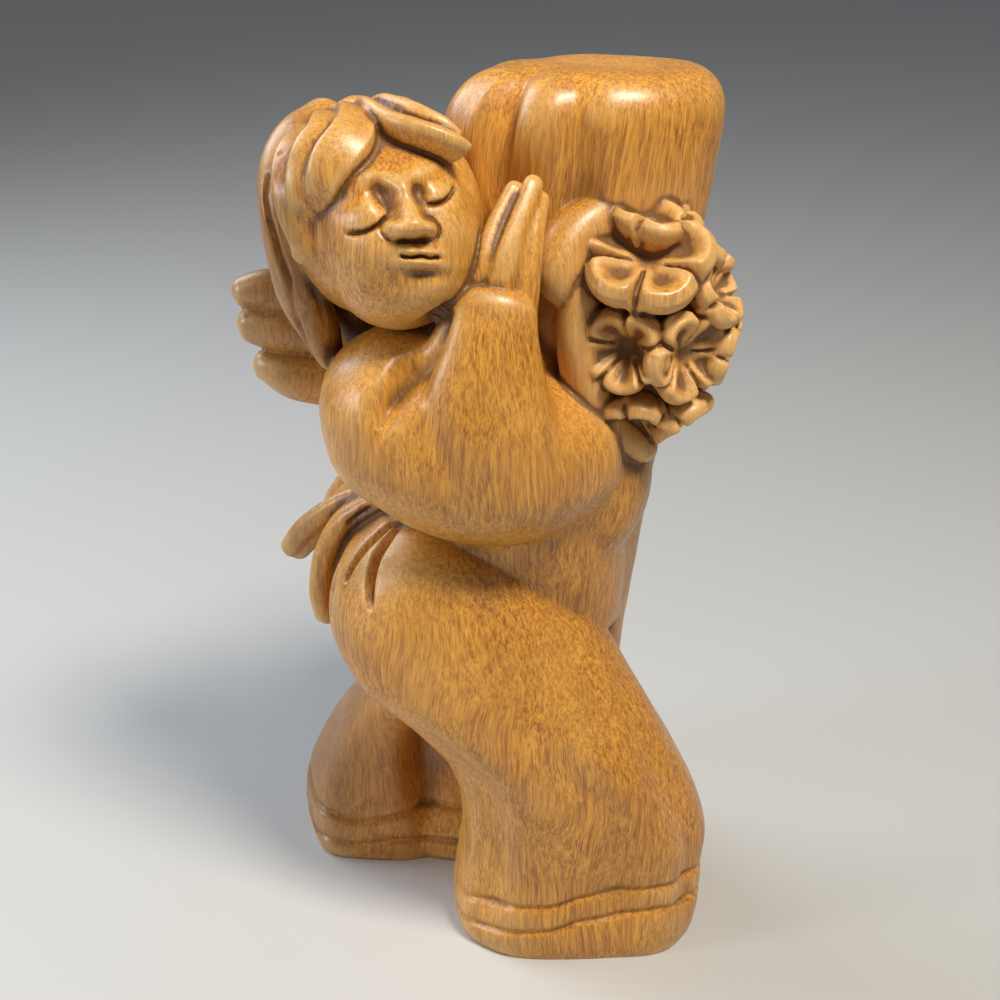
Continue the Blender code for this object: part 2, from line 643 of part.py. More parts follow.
def hair(shell):
    # The cap of hair behind the face.
    centre, right, up, forward = head_frame()
    shell.ellipsoid(centre - 7 * forward + 4 * up, (29.5, 26, 31), (14, -16, 0))
    shell.tube(
        [(-36, 6, 262, 24, 18), (-38, 12, 236, 21, 15), (-37, 18, 212, 16, 11), (-35, 22, 194, 9, 7)]
    )
    for lock in LEAF_LOCKS:
        leaf_lock(shell, lock)
    for strand in HAIR_STRANDS:
        shell.tube(strand, side=(1, 0, 0), ends=(0.9, 0.9), around=24)


def finger_section(angles, share):
    """A finger's section: flattened, with a knife ridge towards the thumb's side."""
    ridge = np.exp(-(((np.angle(np.exp(1j * (angles - 3.9)))) / 0.45) ** 2))
    return 0.92 + 0.22 * ridge


def hand(shell):
    for finger in FINGERS:
        shell.tube(finger, ends=(0.8, 0.9), around=30, section=finger_section)


def feather_section(angles, share):
    """A feather's section: a flat oval with a crisp lower edge."""
    away = np.angle(np.exp(1j * (angles - math.pi)))
    return 0.94 + 0.20 * np.exp(-((away / 0.4) ** 2))


def wings(shell):
    for feather in NEAR_WING + FAR_WING:
        shell.tube(feather, side=(0, 0, 1), ends=(0.6, 0.9), around=32, section=feather_section)


def bow(shell):
    def ribbon_section(angles, share):
        """A ribbon folded over at its outer rim, with a hollow along its face."""
        away = np.angle(np.exp(1j * (angles - math.radians(55))))
        return 1.0 - 0.42 * smoothstep(share, 0.0, 0.3) * np.exp(-((away / 0.55) ** 2))

    for lobe in BOW_LOBES:
        shell.tube(lobe, side=(0.66, 0, -0.72), ends=(0.7, 0.9), around=36, section=ribbon_section)


def flower(shell, centre, axis, radius, turn, cup):
    """A bowl of five cupped petals, with a skirt that runs into the mound."""
    axis = np.asarray(axis, float)
    axis /= np.linalg.norm(axis)
    wide = np.cross(axis, (0, 0, 1))
    wide /= np.linalg.norm(wide)
    deep = np.cross(axis, wide)
    count = 80 * FORM_SIDES
    angles = np.linspace(0, 2 * math.pi, count, endpoint=False)
    petal = np.abs(np.cos(2.5 * (angles - turn)))
    rim = radius * (0.80 + 0.22 * petal**0.6)
    rings = []
    for share in (0.04, 0.12, 0.2, 0.3, 0.4, 0.5, 0.6, 0.69, 0.77, 0.84, 0.9, 0.95, 0.98, 1.0):
        bowl = -0.22 + 0.36 * smoothstep(share, 0.0, 0.8) - 0.16 * smoothstep(share, 0.84, 1.0) ** 2
        cupped = -0.15 * petal**1.5 * np.exp(-(((share - 0.56) / 0.24) ** 2))
        cleft = -0.24 * (1 - smoothstep(petal, 0.02, 0.40)) * smoothstep(share, 0.04, 0.4)
        rings.append((rim * share, radius * (cup * bowl + cupped + cleft)))
    for share, drop in ((1.0, 0.12), (0.95, 0.28), (0.8, 0.45), (0.62, 0.7)):
        notch = 0.34 * (1 - smoothstep(petal, 0.02, 0.42)) * (1 - drop)
        rings.append((rim * share, -radius * (drop + notch)))
    shell.loft(
        [
            np.asarray(centre, float)
            + (np.cos(angles) * reach)[:, None] * wide
            + (np.sin(angles) * reach)[:, None] * deep
            + (rise * np.ones(count))[:, None] * axis
            for reach, rise in rings
        ][::-1]
    )


def bouquet(shell):
    shell.ellipsoid(BOUQUET_MIDDLE, BOUQUET_CORE)
    # The smooth collar that wraps the bunch.
    shell.tube(COLLAR, side=(0, 1, 0), ends=(0.9, 0.9), steps=40)
    shell.tube(WRAP, side=(1, 0, 0), ends=(0.9, 0.9), steps=40)
    for turn, lift, facing, radius, spin, cup in FLOWERS:
        turn, lift, facing = math.radians(turn), math.radians(lift), math.radians(facing)
        level = vector(math.cos(turn), math.sin(turn), 0)
        towards = level * math.cos(lift) + vector(0, 0, math.sin(lift))
        centre = np.array(BOUQUET_MIDDLE) + towards / np.linalg.norm(towards / np.array(BOUQUET_RADII))
        axis = level * math.cos(facing) + vector(0, 0, math.sin(facing))
        flower(shell, centre, axis, radius, spin, cup)


def carve_forms():
    """Every form of the figurine, fused into one skin."""
    upper = Shell()
    column(upper)
    torso_and_arms(upper)
    lower = Shell()
    gown(lower)
    whole = Shell()
    whole.add_mesh(fused(upper, SOFT_VOXEL, SOFT_BLEND))
    whole.add_mesh(fused(lower, SOFT_VOXEL, SOFT_BLEND))
    for form in (head, hair, hand, wings, bow, bouquet):
        form(whole)
    return fused(whole, CRISP_VOXEL, CRISP_BLEND)


def distance_to_line(points, line):
    """Distance of every point to a row of straight pieces, and the share of its length there."""
    line = np.asarray(line, float)
    lengths = np.linalg.norm(np.diff(line, axis=0), axis=1)
    travelled = np.concatenate([[0], np.cumsum(lengths)])
    nearest = np.full(len(points), np.inf)
    share = np.zeros(len(points))
    for k in range(len(line) - 1):
        step = line[k + 1] - line[k]
        t = np.clip((points - line[k]) @ step / (step @ step), 0, 1)
        away = np.linalg.norm(points - line[k] - t[:, None] * step, axis=1)
        closer = away < nearest
        nearest[closer] = away[closer]
        share[closer] = (travelled[k] + t[closer] * lengths[k]) / travelled[-1]
    return nearest, share


def hem_cut(points):
    """Depth of the hem lines at each point of the gown."""
    near_angle = np.degrees(
        np.arctan2(points[:, 1] - NEAR_HEM_MIDDLE[1], points[:, 0] - NEAR_HEM_MIDDLE[0])
    )
    far_angle = np.degrees(np.arctan2(points[:, 1] - FAR_HEM_MIDDLE[1], points[:, 0] - FAR_HEM_MIDDLE[0]))
    is_near = (points[:, 0] > -18) & (points[:, 1] < 0.25 * (points[:, 0] + 18) + 26)
    depth = np.zeros(len(points))
    for near_line, far_line in ((NEAR_HEM_UPPER, FAR_HEM_UPPER), (NEAR_HEM_LOWER, FAR_HEM_LOWER)):
        near_height = np.interp(near_angle, NEAR_HEM_ANGLES, near_line)
        far_height = np.interp(far_angle, FAR_HEM_ANGLES, far_line)
        away = points[:, 2] - np.where(is_near, near_height, far_height)
        depth += HEM_GROOVE_DEPTH / UNIT * np.exp(-((away / (HEM_GROOVE_WIDTH / UNIT)) ** 2))
    return depth * (points[:, 2] > 1.5)


def carved(mesh):
    """Cuts the incised lines into the skin of the figurine."""
    count = len(mesh.vertices)
    points = np.empty(count * 3)
    mesh.vertices.foreach_get("co", points)
    points = points.reshape(-1, 3)
    normals = np.empty(count * 3)
    mesh.vertices.foreach_get("normal", normals)
    normals = normals.reshape(-1, 3)
    depth = np.where(points[:, 2] < 45, hem_cut(points), 0.0)
    for line, width, deep, power in CUTS:
        away, share = distance_to_line(points, line)
        taper = 0.25 + 0.75 * np.sin(np.pi * np.clip(share, 0, 1)) ** 0.6
        depth += deep * taper * np.exp(-((away / (width * (0.4 + 0.6 * taper))) ** power))
    points = points - normals * depth[:, None]
    mesh.vertices.foreach_set("co", points.ravel())
    mesh.update()
    return mesh


def finish_solid(mesh):
    """Keeps the outer skin, thins it, cuts the underside flat and sets it on the origin."""

    points = np.empty(len(mesh.vertices) * 3)
    mesh.vertices.foreach_get("co", points)
    points = points.reshape(-1, 3)
    centre, right, up, forward = head_frame()
    on_face = ((points - centre) @ forward > 16) & (np.linalg.norm(points - centre, axis=1) < 38)
    near_flowers = np.linalg.norm((points - np.array(BOUQUET_MIDDLE)) / (36, 30, 46), axis=1) < 1
    near_flowers &= points[:, 1] < 12

    def thin(stack):
        collapse = stack.new("thin", "DECIMATE")
        collapse.ratio = TRIANGLES / (2 * len(mesh.polygons))
        collapse.vertex_group = "thinned"
        collapse.vertex_group_factor = SPARED_FACTOR

    mesh = evaluated(mesh, thin, on_face | near_flowers)
    shape = bmesh.new()
    shape.from_mesh(mesh)
    geometry = shape.verts[:] + shape.edges[:] + shape.faces[:]
    bmesh.ops.bisect_plane(shape, geom=geometry, plane_co=(0, 0, 0), plane_no=(0, 0, 1), clear_inner=True)
    bmesh.ops.holes_fill(shape, edges=[e for e in shape.edges if e.is_boundary])
    bmesh.ops.triangulate(shape, faces=shape.faces)
    bmesh.ops.recalc_face_normals(shape, faces=shape.faces)
    low = Vector(min(v.co[k] for v in shape.verts) for k in range(3))
    high = Vector(max(v.co[k] for v in shape.verts) for k in range(3))
    middle = Vector(((low.x + high.x) / 2, (low.y + high.y) / 2, low.z))
    bmesh.ops.translate(shape, verts=shape.verts, vec=-middle)
    scale = HEIGHT / (high.z - low.z)
    bmesh.ops.scale(shape, verts=shape.verts, vec=(scale, scale, scale))
    shape.to_mesh(mesh)
    shape.free()
    return mesh


def wood():
    material = bpy.data.materials.new("carved_wood")
    material.use_nodes = True
    shader = material.node_tree.nodes["Principled BSDF"]
    shader.inputs["Base Color"].default_value = WOOD_COLOUR
    shader.inputs["Roughness"].default_value = WOOD_ROUGHNESS
    shader.inputs["Metallic"].default_value = 0.0
    return material


def main():
    for obj in list(bpy.data.objects):
        bpy.data.objects.remove(obj)
    mesh = finish_solid(carved(carve_forms()))
    mesh.shade_smooth()
    mesh.set_sharp_from_angle(angle=math.radians(40))
    mesh.materials.clear()
    mesh.materials.append(wood())
    figurine = bpy.data.objects.new("cherub", mesh)
    bpy.context.scene.collection.objects.link(figurine)


main()
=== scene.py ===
"""Looks of the carved wooden cherub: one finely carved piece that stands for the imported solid,
its wood, a pale floor, soft studio light and a camera at the photograph's viewing angle.

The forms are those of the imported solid, built here at a finer grain. Their positions are in
carving units, about a millimetre at the figurine's real size, until the piece is set on its frame.
"""

import math

import bmesh
import bpy
import numpy as np
from mathutils import Matrix, Vector


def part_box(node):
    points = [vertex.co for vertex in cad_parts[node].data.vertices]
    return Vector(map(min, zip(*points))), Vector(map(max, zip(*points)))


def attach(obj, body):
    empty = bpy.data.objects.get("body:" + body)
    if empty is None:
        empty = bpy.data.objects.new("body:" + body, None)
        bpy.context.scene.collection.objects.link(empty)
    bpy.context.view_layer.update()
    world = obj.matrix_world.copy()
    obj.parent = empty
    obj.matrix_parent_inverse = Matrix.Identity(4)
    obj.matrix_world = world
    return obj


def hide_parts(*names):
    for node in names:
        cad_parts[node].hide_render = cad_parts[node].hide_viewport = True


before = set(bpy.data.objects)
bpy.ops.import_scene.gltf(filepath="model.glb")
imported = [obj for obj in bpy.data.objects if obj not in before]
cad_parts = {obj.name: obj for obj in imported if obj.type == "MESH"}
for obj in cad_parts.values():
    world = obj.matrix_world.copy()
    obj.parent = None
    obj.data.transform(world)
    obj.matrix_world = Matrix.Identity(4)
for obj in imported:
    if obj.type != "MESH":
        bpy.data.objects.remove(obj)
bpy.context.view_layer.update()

# Driving sizes, in metres, and the size of one carving unit.
HEIGHT = (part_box("cherub")[1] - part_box("cherub")[0]).z
HEM_GROOVE_DEPTH = 0.0014
HEM_GROOVE_WIDTH = 0.0013
PLEAT_DEPTH = 0.0040
UNIT = HEIGHT / 300

# In carving units: the grids that soft and crisp forms are fused on, how far their creases are
# sanded, and how far the gown starts below the table before its underside is cut flat.
SOFT_VOXEL = 1.0
CRISP_VOXEL = 0.5
SOFT_BLEND = 4.0
CRISP_BLEND = 0.45
FLOOR_ALLOWANCE = 4.0

# How many times finer the forms' rings are than their counts say.
FORM_SIDES = 2

# Triangles that the piece is thinned to, the thinning's weight on the face and the flowers, which
# is 1 elsewhere, and how much these weights count.
TRIANGLES = 190000
SPARED_WEIGHT = 0.9
SPARED_FACTOR = 1.0

# Where the thinning spares the skin: how far before the head's middle the face starts and how far
# from it the face reaches, and the half sizes of the bouquet's room and the y that it ends at.
FACE_FORWARD = 10
FACE_REACH = 38
BOUQUET_ROOM = (36, 30, 46)
BOUQUET_BACK = 12

# Rounds that spread the measure of hollows over the skin, how strongly it shows as painted shade
# in creases and a painted highlight on edges, and the half sizes of the bouquet's room where the
# wood is raw.
HOLLOW_ROUNDS = 6
HOLLOW_GAIN = 5.5
RAW_ROOM = (34, 29, 45)

# Column that the cherub hugs: (height, centre x, centre y, half width, half depth).
COLUMN_STATIONS = [
    (40, 22, 24, 16, 16),
    (105, 26, 30, 18, 18),
    (165, 27, 28, 25, 23),
    (210, 27, 27, 32, 27),
    (250, 25.5, 27, 39.5, 30),
    (280, 25, 27, 44.5, 32),
    (300, 25, 27, 46, 33),
]
COLUMN_TOP = 298.0
COLUMN_RIM_RADIUS = 14.0
COLUMN_LEFT_ROUNDING = 12.0
# Flutes of the column: (angle in degrees, half width in degrees, depth, height they reach down to).
COLUMN_FLUTES = [
    (-93, 7, 6.0, 110),
    (-131, 9, 14.0, 248),
    (-152, 6, 3.5, 262),
    (165, 10, 4.0, 240),
    (112, 9, 4.5, 150),
    (60, 12, 4.0, 230),
]

# Heights of the two hem lines round the near side, by angle in degrees, and round the far side.
NEAR_HEM_ANGLES = [-180, -150, -125, -105, -90, -75, -50, -20, 10, 60, 120, 180]
NEAR_HEM_UPPER = [20, 19, 22.5, 23.5, 27, 28, 30.5, 26, 23, 25, 22, 20]
NEAR_HEM_LOWER = [9, 9.5, 12, 13.5, 17, 17.5, 21, 16, 13, 15, 12, 9]
FAR_HEM_ANGLES = [-180, -150, -120, -95, -70, -30, 20, 80, 130, 180]
FAR_HEM_UPPER = [24, 21, 16.5, 19, 21, 20, 22, 24, 21, 24]
FAR_HEM_LOWER = [11, 9, 6.5, 9.5, 9, 9, 11, 13, 10, 11]
NEAR_HEM_MIDDLE = (27, 6)
FAR_HEM_MIDDLE = (-38, 58)

# Folds of the near side of the gown: (angle in degrees, half width in degrees, depth).
NEAR_FOLDS = [
    (-132, 12, 3.4),
    (-80, 11, 4.2),
    (-34, 12, 3.4),
    (15, 14, 2.4),
    (80, 16, 2.0),
    (150, 18, 2.0),
]

# Leaf-shaped locks that lie on the head, seen from its middle: (degrees towards the figure's
# right, degrees over the brow to the back, distance, half width).
LEAF_LOCKS = [
    [(-17, 112, 33, 2.5), (-21, 88, 34, 3.5), (-27, 70, 34.5, 5), (-33, 56, 35.5, 6),
     (-39, 45, 36.5, 5.5), (-44, 35, 36, 4)],
    [(-9, 112, 33, 2.2), (-11, 84, 34, 3), (-12, 64, 34.5, 4), (-14, 51, 35.5, 4.4),
     (-19, 41, 37.5, 4.4), (-26, 33, 39, 4.2), (-33, 27, 39.5, 4), (-38, 23, 39, 3.4)],
    [(14, 118, 32, 3), (18, 96, 34.5, 4.5), (28, 78, 36, 5.5), (39, 66, 36.5, 5.5), (50, 54, 35.5, 5),
     (60, 40, 33, 4.5), (66, 24, 31, 3.8), (69, 8, 30, 4), (72, -8, 30, 3.5), (74, -24, 30, 2)],
    [(7.5, 115, 33, 3), (7.5, 90, 34.5, 3.8), (16, 64, 36.5, 5.2), (27, 54, 37.5, 5.5),
     (38, 47, 36.5, 5.2), (47, 39.5, 34, 4.2), (54, 31, 30.5, 2.8), (57, 24, 28, 1.2)],
    [(-3.5, 115, 33, 2.5), (-3, 88, 34, 3.6), (1, 62, 35.5, 5), (9, 48, 37, 6), (20, 41, 37.5, 6),
     (30, 36.5, 36, 5), (39, 32.5, 33, 3.8), (47, 27.5, 29.5, 1.5)],
]
# A lock's rise over its borders, the fall of its right border, how deep it goes into the head
# and the height of its middle ridge.
LEAF_RISE = 2.6
LEAF_SLOPE = 2.6
LEAF_SINK = 8.0
LEAF_CREST = 0.2

# Long strands, fingers, feathers and cloth ends: (x, y, z, half width, half depth).
HAIR_STRANDS = [
    [(-52, 10, 284, 8, 6), (-60, 2, 279, 8, 7), (-64, -3, 270, 7.5, 7), (-64, -5, 259, 7.5, 8),
     (-62, -6, 247, 8, 8), (-60, -5, 235.5, 7.8, 8), (-56, -2, 223.5, 6.5, 7), (-52.8, 0, 213, 4, 5)],
    [(-40, 8, 286, 9, 5), (-50, 18, 276, 10, 6), (-56, 20, 258, 10, 7), (-55, 19, 236, 9, 7),
     (-50, 20, 214, 7, 6), (-45, 22, 200, 4, 4)],
    [(-32, 10, 286, 9, 5), (-36, 24, 274, 10, 6), (-39, 29, 256, 10, 7), (-39, 29, 234, 9, 7),
     (-36, 29, 212, 7, 6), (-34, 29, 198, 4, 4)],
]
FINGERS = [
    [(-5, -15, 222, 6, 5.5), (-7, -20.5, 237, 5.8, 5.2), (-4, -21, 247, 4.8, 5.2), (-1, -16, 257, 4, 5),
     (3.8, -9.5, 266.5, 3.2, 4.6)],
    [(0, -15, 222, 6, 5.5), (-0.5, -22, 238, 5.6, 5), (1.5, -21.5, 248, 4.6, 5.2),
     (5, -16.5, 258, 4, 5.2), (9.5, -9.5, 268, 3.3, 4.8)],
    [(5, -14, 222, 6, 5.5), (6.5, -20, 238, 5.6, 5), (8, -18.5, 247, 4.4, 4.8),
     (9.8, -14.5, 256, 3.6, 4.8), (12.2, -8.5, 263.5, 2.8, 4.4)],
]
NEAR_WING = [
    [(-40, 18, 222, 8, 6), (-58, 17, 228, 8.5, 5.5), (-72, 16, 230, 7, 5), (-81, 17, 229, 5.5, 4.5)],
    [(-40, 17, 210, 8, 6), (-56, 16, 215, 8.5, 6), (-70, 15, 217.5, 7.5, 5.5), (-79.5, 17, 218.5, 6, 5)],
    [(-38, 16, 196, 8, 6), (-52, 15, 200, 8.5, 6.5), (-66, 14, 202, 7.5, 6), (-75, 16, 205, 5.5, 5)],
]
FAR_WING = [
    [(-34, 26, 222, 8, 6), (-46, 38, 228, 8.5, 5.5), (-56, 50, 230, 7, 5), (-63, 58, 229, 5.5, 4.5)],
    [(-34, 26, 210, 8, 6), (-45, 37, 215, 8.5, 6), (-55, 48, 217.5, 7.5, 5.5), (-62, 56, 218.5, 6, 5)],
    [(-32, 26, 196, 8, 6), (-42, 35, 200, 8.5, 6.5), (-51, 46, 202, 7.5, 6), (-58, 53, 205, 5.5, 5)],
]
BOW_LOBES = [
    [(-40, 17, 161, 4, 3.5), (-54, 21, 152, 5, 3.4), (-65, 25, 141.5, 6, 3.6),
     (-71.5, 28, 133, 5.2, 3.4)],
    [(-38, 10, 161, 4, 4), (-50.5, 14, 150, 5.4, 4.6), (-57.5, 15.5, 137, 5.8, 4.8),
     (-60, 17, 123, 5.8, 4.8), (-59.5, 17, 114, 5.2, 4.2)],
    [(-42, 26, 160, 5, 4), (-52, 33, 149, 6, 5), (-57, 38, 135, 6.4, 4.6), (-57, 40, 121, 6, 4)],
    [(-40, 30, 162, 5, 4), (-50, 41, 153, 6, 3.6), (-56, 48, 142, 6.8, 3.8), (-59, 53, 134, 5.6, 3.4)],
]

# Incised lines: (points, half width, depth, power of the groove's profile).
PLEAT_HALF_WIDTH = 1.7
PLEAT_CUT = (PLEAT_HALF_WIDTH, PLEAT_DEPTH / UNIT, 3.0)
CUTS = [
    ([(-31, -3, 158), (-35, -2.5, 156.5), (-39.5, -4.5, 153.5), (-44.5, -6, 149), (-48.5, -7.5, 143.5),
      (-50, -9, 139)], *PLEAT_CUT),
    ([(-29, -5.5, 158.5), (-32.5, -5, 157), (-36.5, -9, 153.5), (-39.5, -12, 149.5),
      (-41.5, -17, 142.5), (-41.5, -20.5, 136)], *PLEAT_CUT),
    ([(-40, 5, 159), (-44, 7, 157), (-50, 8, 151), (-54, 6, 141.6), (-56, -2, 133),
      (-56, -5, 125)], *PLEAT_CUT),
    ([(-36, -35, 201), (-32.8, -34.4, 208.5), (-29.6, -32.5, 213), (-25, -29.1, 219.3),
      (-22.6, -28.6, 223), (-20, -28.4, 227.7), (-18, -28.3, 231.7), (-16, -28.5, 238)], 5.0, 6.0, 2.0),
    ([(-34, -34.5, 207), (-31, -33.3, 211), (-28.5, -31.8, 214.5), (-26.5, -30.4, 217)], 1.4, 1.2, 2.0),
    ([(-61, -20, 282), (-68, -9, 271), (-69, -10.4, 265.6), (-66.7, -12.9, 255.5),
      (-62.5, -13.6, 241.5), (-61, -9.8, 226.6), (-57.5, -3.7, 214.4)], 1.0, 1.8, 2.0),
    ([(-59, -14, 270), (-60, -12.2, 260.7), (-57.3, -16, 251.5), (-55.4, -11, 237.7),
      (-53.2, -8.3, 226)], 1.0, 1.6, 2.0),
]

# Bouquet: the egg-shaped mound that the flowers lie on, its smaller core, the collar over it and
# the wrap that runs down its left side.
BOUQUET_MIDDLE = (45, 2, 222.5)
BOUQUET_RADII = (26.5, 20, 36)
BOUQUET_CORE = (21, 14.5, 30.5)
COLLAR = [
    (46, 12, 258, 7, 7),
    (33, 4, 257, 8, 8),
    (22, -2, 251.5, 9, 8.5),
    (17.5, -8, 242, 7.5, 7.5),
    (20, -9, 233, 3.5, 3.5),
]
WRAP = [
    (23, -4, 243, 6, 6),
    (24, -7, 233, 7, 8),
    (24.5, -8, 220, 7.5, 8.5),
    (28, -7, 204, 7.5, 8.5),
    (35, -5, 191, 7, 7.5),
    (45, -3, 184, 5, 6),
]
# Flowers: (bearing and lift of the place on the mound, lift that it faces, radius, spin, depth
# of its cup).
FLOWERS = [
    (-96, 64, 54, 20.5, -0.49, 1.0),
    (-30, 86, 80, 14.5, 0.6, 0.8),
    (-112, -6, -2, 14, 0.3, 1.9),
    (-56, -12, -2, 15, 0.1, 1.3),
    (-105, -66, -50, 12.5, 0.5, 1.2),
    (-22, 30, 30, 12, 0.8, 1.4),
    (-30, -64, -50, 12, 0.2, 1.2),
    (8, 54, 50, 11, 0.0, 1.2),
    (-12, -16, -16, 11.5, 0.5, 1.4),
    (35, 4, 4, 11, 0.3, 1.2),
    (30, -40, -40, 11, 0.9, 1.2),
    (45, 44, 44, 11, 0.7, 1.2),
    (-155, -42, -42, 9, 0.4, 1.0),
]


def vector(*xyz):
    return np.array(xyz, float)


def smoothstep(x, low, high):
    t = np.clip((np.asarray(x, float) - low) / (high - low), 0.0, 1.0)
    return t * t * (3 - 2 * t)


def spline(stations, count):
    """Points of a Catmull-Rom curve through the stations, which may carry radii beside positions."""
    p = np.asarray(stations, float)
    p = np.vstack([2 * p[0] - p[1], p, 2 * p[-1] - p[-2]])
    spans = len(p) - 3
    found = []
    for s in np.linspace(0, spans - 1e-9, count):
        i = int(s)
        t = s - i
        a, b, c, d = p[i : i + 4]
        found.append(
            0.5
            * (2 * b + (c - a) * t + (2 * a - 5 * b + 4 * c - d) * t**2 + (3 * b - a - 3 * c + d) * t**3)
        )
    return np.array(found)


def vertex_array(mesh, name):
    """A vector of every vertex, such as its position, as rows."""
    values = np.empty(len(mesh.vertices) * 3)
    mesh.vertices.foreach_get(name, values)
    return values.reshape(-1, 3)


class Shell:
    """Closed shapes gathered in one mesh, in carving units."""

    def __init__(self):
        self.points = []
        self.faces = []

    def loft(self, rings):
        """Skins a row of rings of equal length and closes both ends on their middles."""
        rings = [np.asarray(ring, float) for ring in rings]
        start = len(self.points)
        count = len(rings[0])
        for ring in rings:
            self.points.extend(ring)
        for r in range(len(rings) - 1):
            for k in range(count):
                a = start + r * count + k
                b = start + r * count + (k + 1) % count
                self.faces.append((a, b, b + count, a + count))
        for ring, first, turn in ((rings[0], start, -1), (rings[-1], start + (len(rings) - 1) * count, 1)):
            middle = len(self.points)
            self.points.append(ring.mean(axis=0))
            for k in range(count):
                pair = (first + k, first + (k + 1) % count)
                self.faces.append((*pair[::turn], middle))

    def tube(self, stations, side=(1, 0, 0), ends=(1.0, 1.0), steps=28, around=28, section=None):
        """A tube through (x, y, z, half width, half depth) stations.

        side is the way that the width points at the start, ends the roundness of the two
        caps as a share of the radius there, and section a function of the angle and the share
        of the length that scales the radius.
        """
        steps, around = steps * FORM_SIDES, around * FORM_SIDES
        line = spline(stations, steps)
        centres, radii = line[:, :3], line[:, 3:5]
        tangents = np.gradient(centres, axis=0)
        tangents /= np.linalg.norm(tangents, axis=1)[:, None]
        across = np.asarray(side, float)
        angles = np.linspace(0, 2 * math.pi, around, endpoint=False)
        frames = []
        for tangent in tangents:
            across = across - tangent * (across @ tangent)
            across /= np.linalg.norm(across)
            frames.append((across.copy(), np.cross(tangent, across)))
        rings = []

        def ring(index, scale, shift):
            wide, deep = frames[index]
            share = index / (steps - 1)
            grow = np.ones(around) if section is None else section(angles, share)
            return (
                centres[index]
                + tangents[index] * shift
                + (np.cos(angles) * grow * radii[index, 0] * scale)[:, None] * wide
                + (np.sin(angles) * grow * radii[index, 1] * scale)[:, None] * deep
            )

        cap_turns = np.radians([12, 30, 50, 70])
        start_reach = ends[0] * radii[0].mean()
        end_reach = ends[1] * radii[-1].mean()
        if start_reach > 0:
            rings += [ring(0, math.sin(t), -start_reach * math.cos(t)) for t in cap_turns]
        rings += [ring(i, 1.0, 0.0) for i in range(steps)]
        if end_reach > 0:
            rings += [ring(steps - 1, math.sin(t), end_reach * math.cos(t)) for t in cap_turns[::-1]]
        self.loft(rings)

    def stack(self, stations, around=72, levels=36, ripple=None):
        """Level sections from (height, left, right, front, back, squareness) stations."""
        levels, around = levels * FORM_SIDES, around * FORM_SIDES
        line = spline(stations, levels)
        angles = np.linspace(0, 2 * math.pi, around, endpoint=False)
        rings = []
        for z, left, right, front, back, square in line:
            x = np.sign(np.cos(angles)) * np.abs(np.cos(angles)) ** (2 / square)
            y = np.sign(np.sin(angles)) * np.abs(np.sin(angles)) ** (2 / square)
            out = 0.0 if ripple is None else ripple(angles, z)
            x = x * ((right - left) / 2 + out)
            y = y * ((back - front) / 2 + out)
            rings.append(np.stack([(left + right) / 2 + x, (front + back) / 2 + y, np.full(around, z)], 1))
        self.loft(rings)

    def ellipsoid(self, centre, radii, turn=(0, 0, 0), rings=20, around=32):
        """An ellipsoid turned by degrees about X, Y and Z."""
        rings, around = rings * FORM_SIDES, around * FORM_SIDES
        spin = Matrix.Rotation(math.radians(turn[2]), 3, "Z")
        spin = spin @ Matrix.Rotation(math.radians(turn[1]), 3, "Y")
        spin = np.array(spin @ Matrix.Rotation(math.radians(turn[0]), 3, "X"))
        angles = np.linspace(0, 2 * math.pi, around, endpoint=False)
        bands = []
        for latitude in np.linspace(-math.pi / 2, math.pi / 2, rings + 2)[1:-1]:
            ring = np.stack(
                [
                    np.cos(angles) * math.cos(latitude),
                    np.sin(angles) * math.cos(latitude),
                    np.full(around, math.sin(latitude)),
                ],
                axis=1,
            )
            bands.append(np.asarray(centre, float) + (ring * radii) @ spin.T)
        self.loft(bands)

    def mesh(self, name):
        mesh = bpy.data.meshes.new(name)
        mesh.from_pydata([tuple(p) for p in self.points], [], self.faces)
        mesh.update()
        return mesh

    def add_mesh(self, mesh):
        start = len(self.points)
        self.points.extend(vertex_array(mesh, "co"))
        self.faces.extend(tuple(start + v for v in face.vertices) for face in mesh.polygons)


def evaluated(mesh, add_modifiers, spared=None):
    """The mesh that a list of modifiers makes from this one, with a group of spared vertices."""
    guide = bpy.data.objects.new("carving_guide", mesh)
    bpy.context.scene.collection.objects.link(guide)
    if spared is not None:
        group = guide.vertex_groups.new(name="thinned")
        group.add(np.flatnonzero(~spared).tolist(), 1.0, "REPLACE")
        group.add(np.flatnonzero(spared).tolist(), SPARED_WEIGHT, "REPLACE")
    add_modifiers(guide.modifiers)
    bpy.context.view_layer.update()
    graph = bpy.context.evaluated_depsgraph_get()
    made = bpy.data.meshes.new_from_object(guide.evaluated_get(graph))
    bpy.data.objects.remove(guide)
    return made


def fused(shell, voxel, blend):
    """The shell's shapes fused into one skin, whose creases are sanded over a blend distance."""
    repeats = round(2.5 * (blend / voxel) ** 2)

    def modifiers(stack):
        remesh = stack.new("fuse", "REMESH")
        remesh.mode = "VOXEL"
        remesh.voxel_size = voxel
        if repeats:
            sand = stack.new("sand", "SMOOTH")
            sand.factor = 0.5
            sand.iterations = repeats

    return evaluated(shell.mesh("forms"), modifiers)


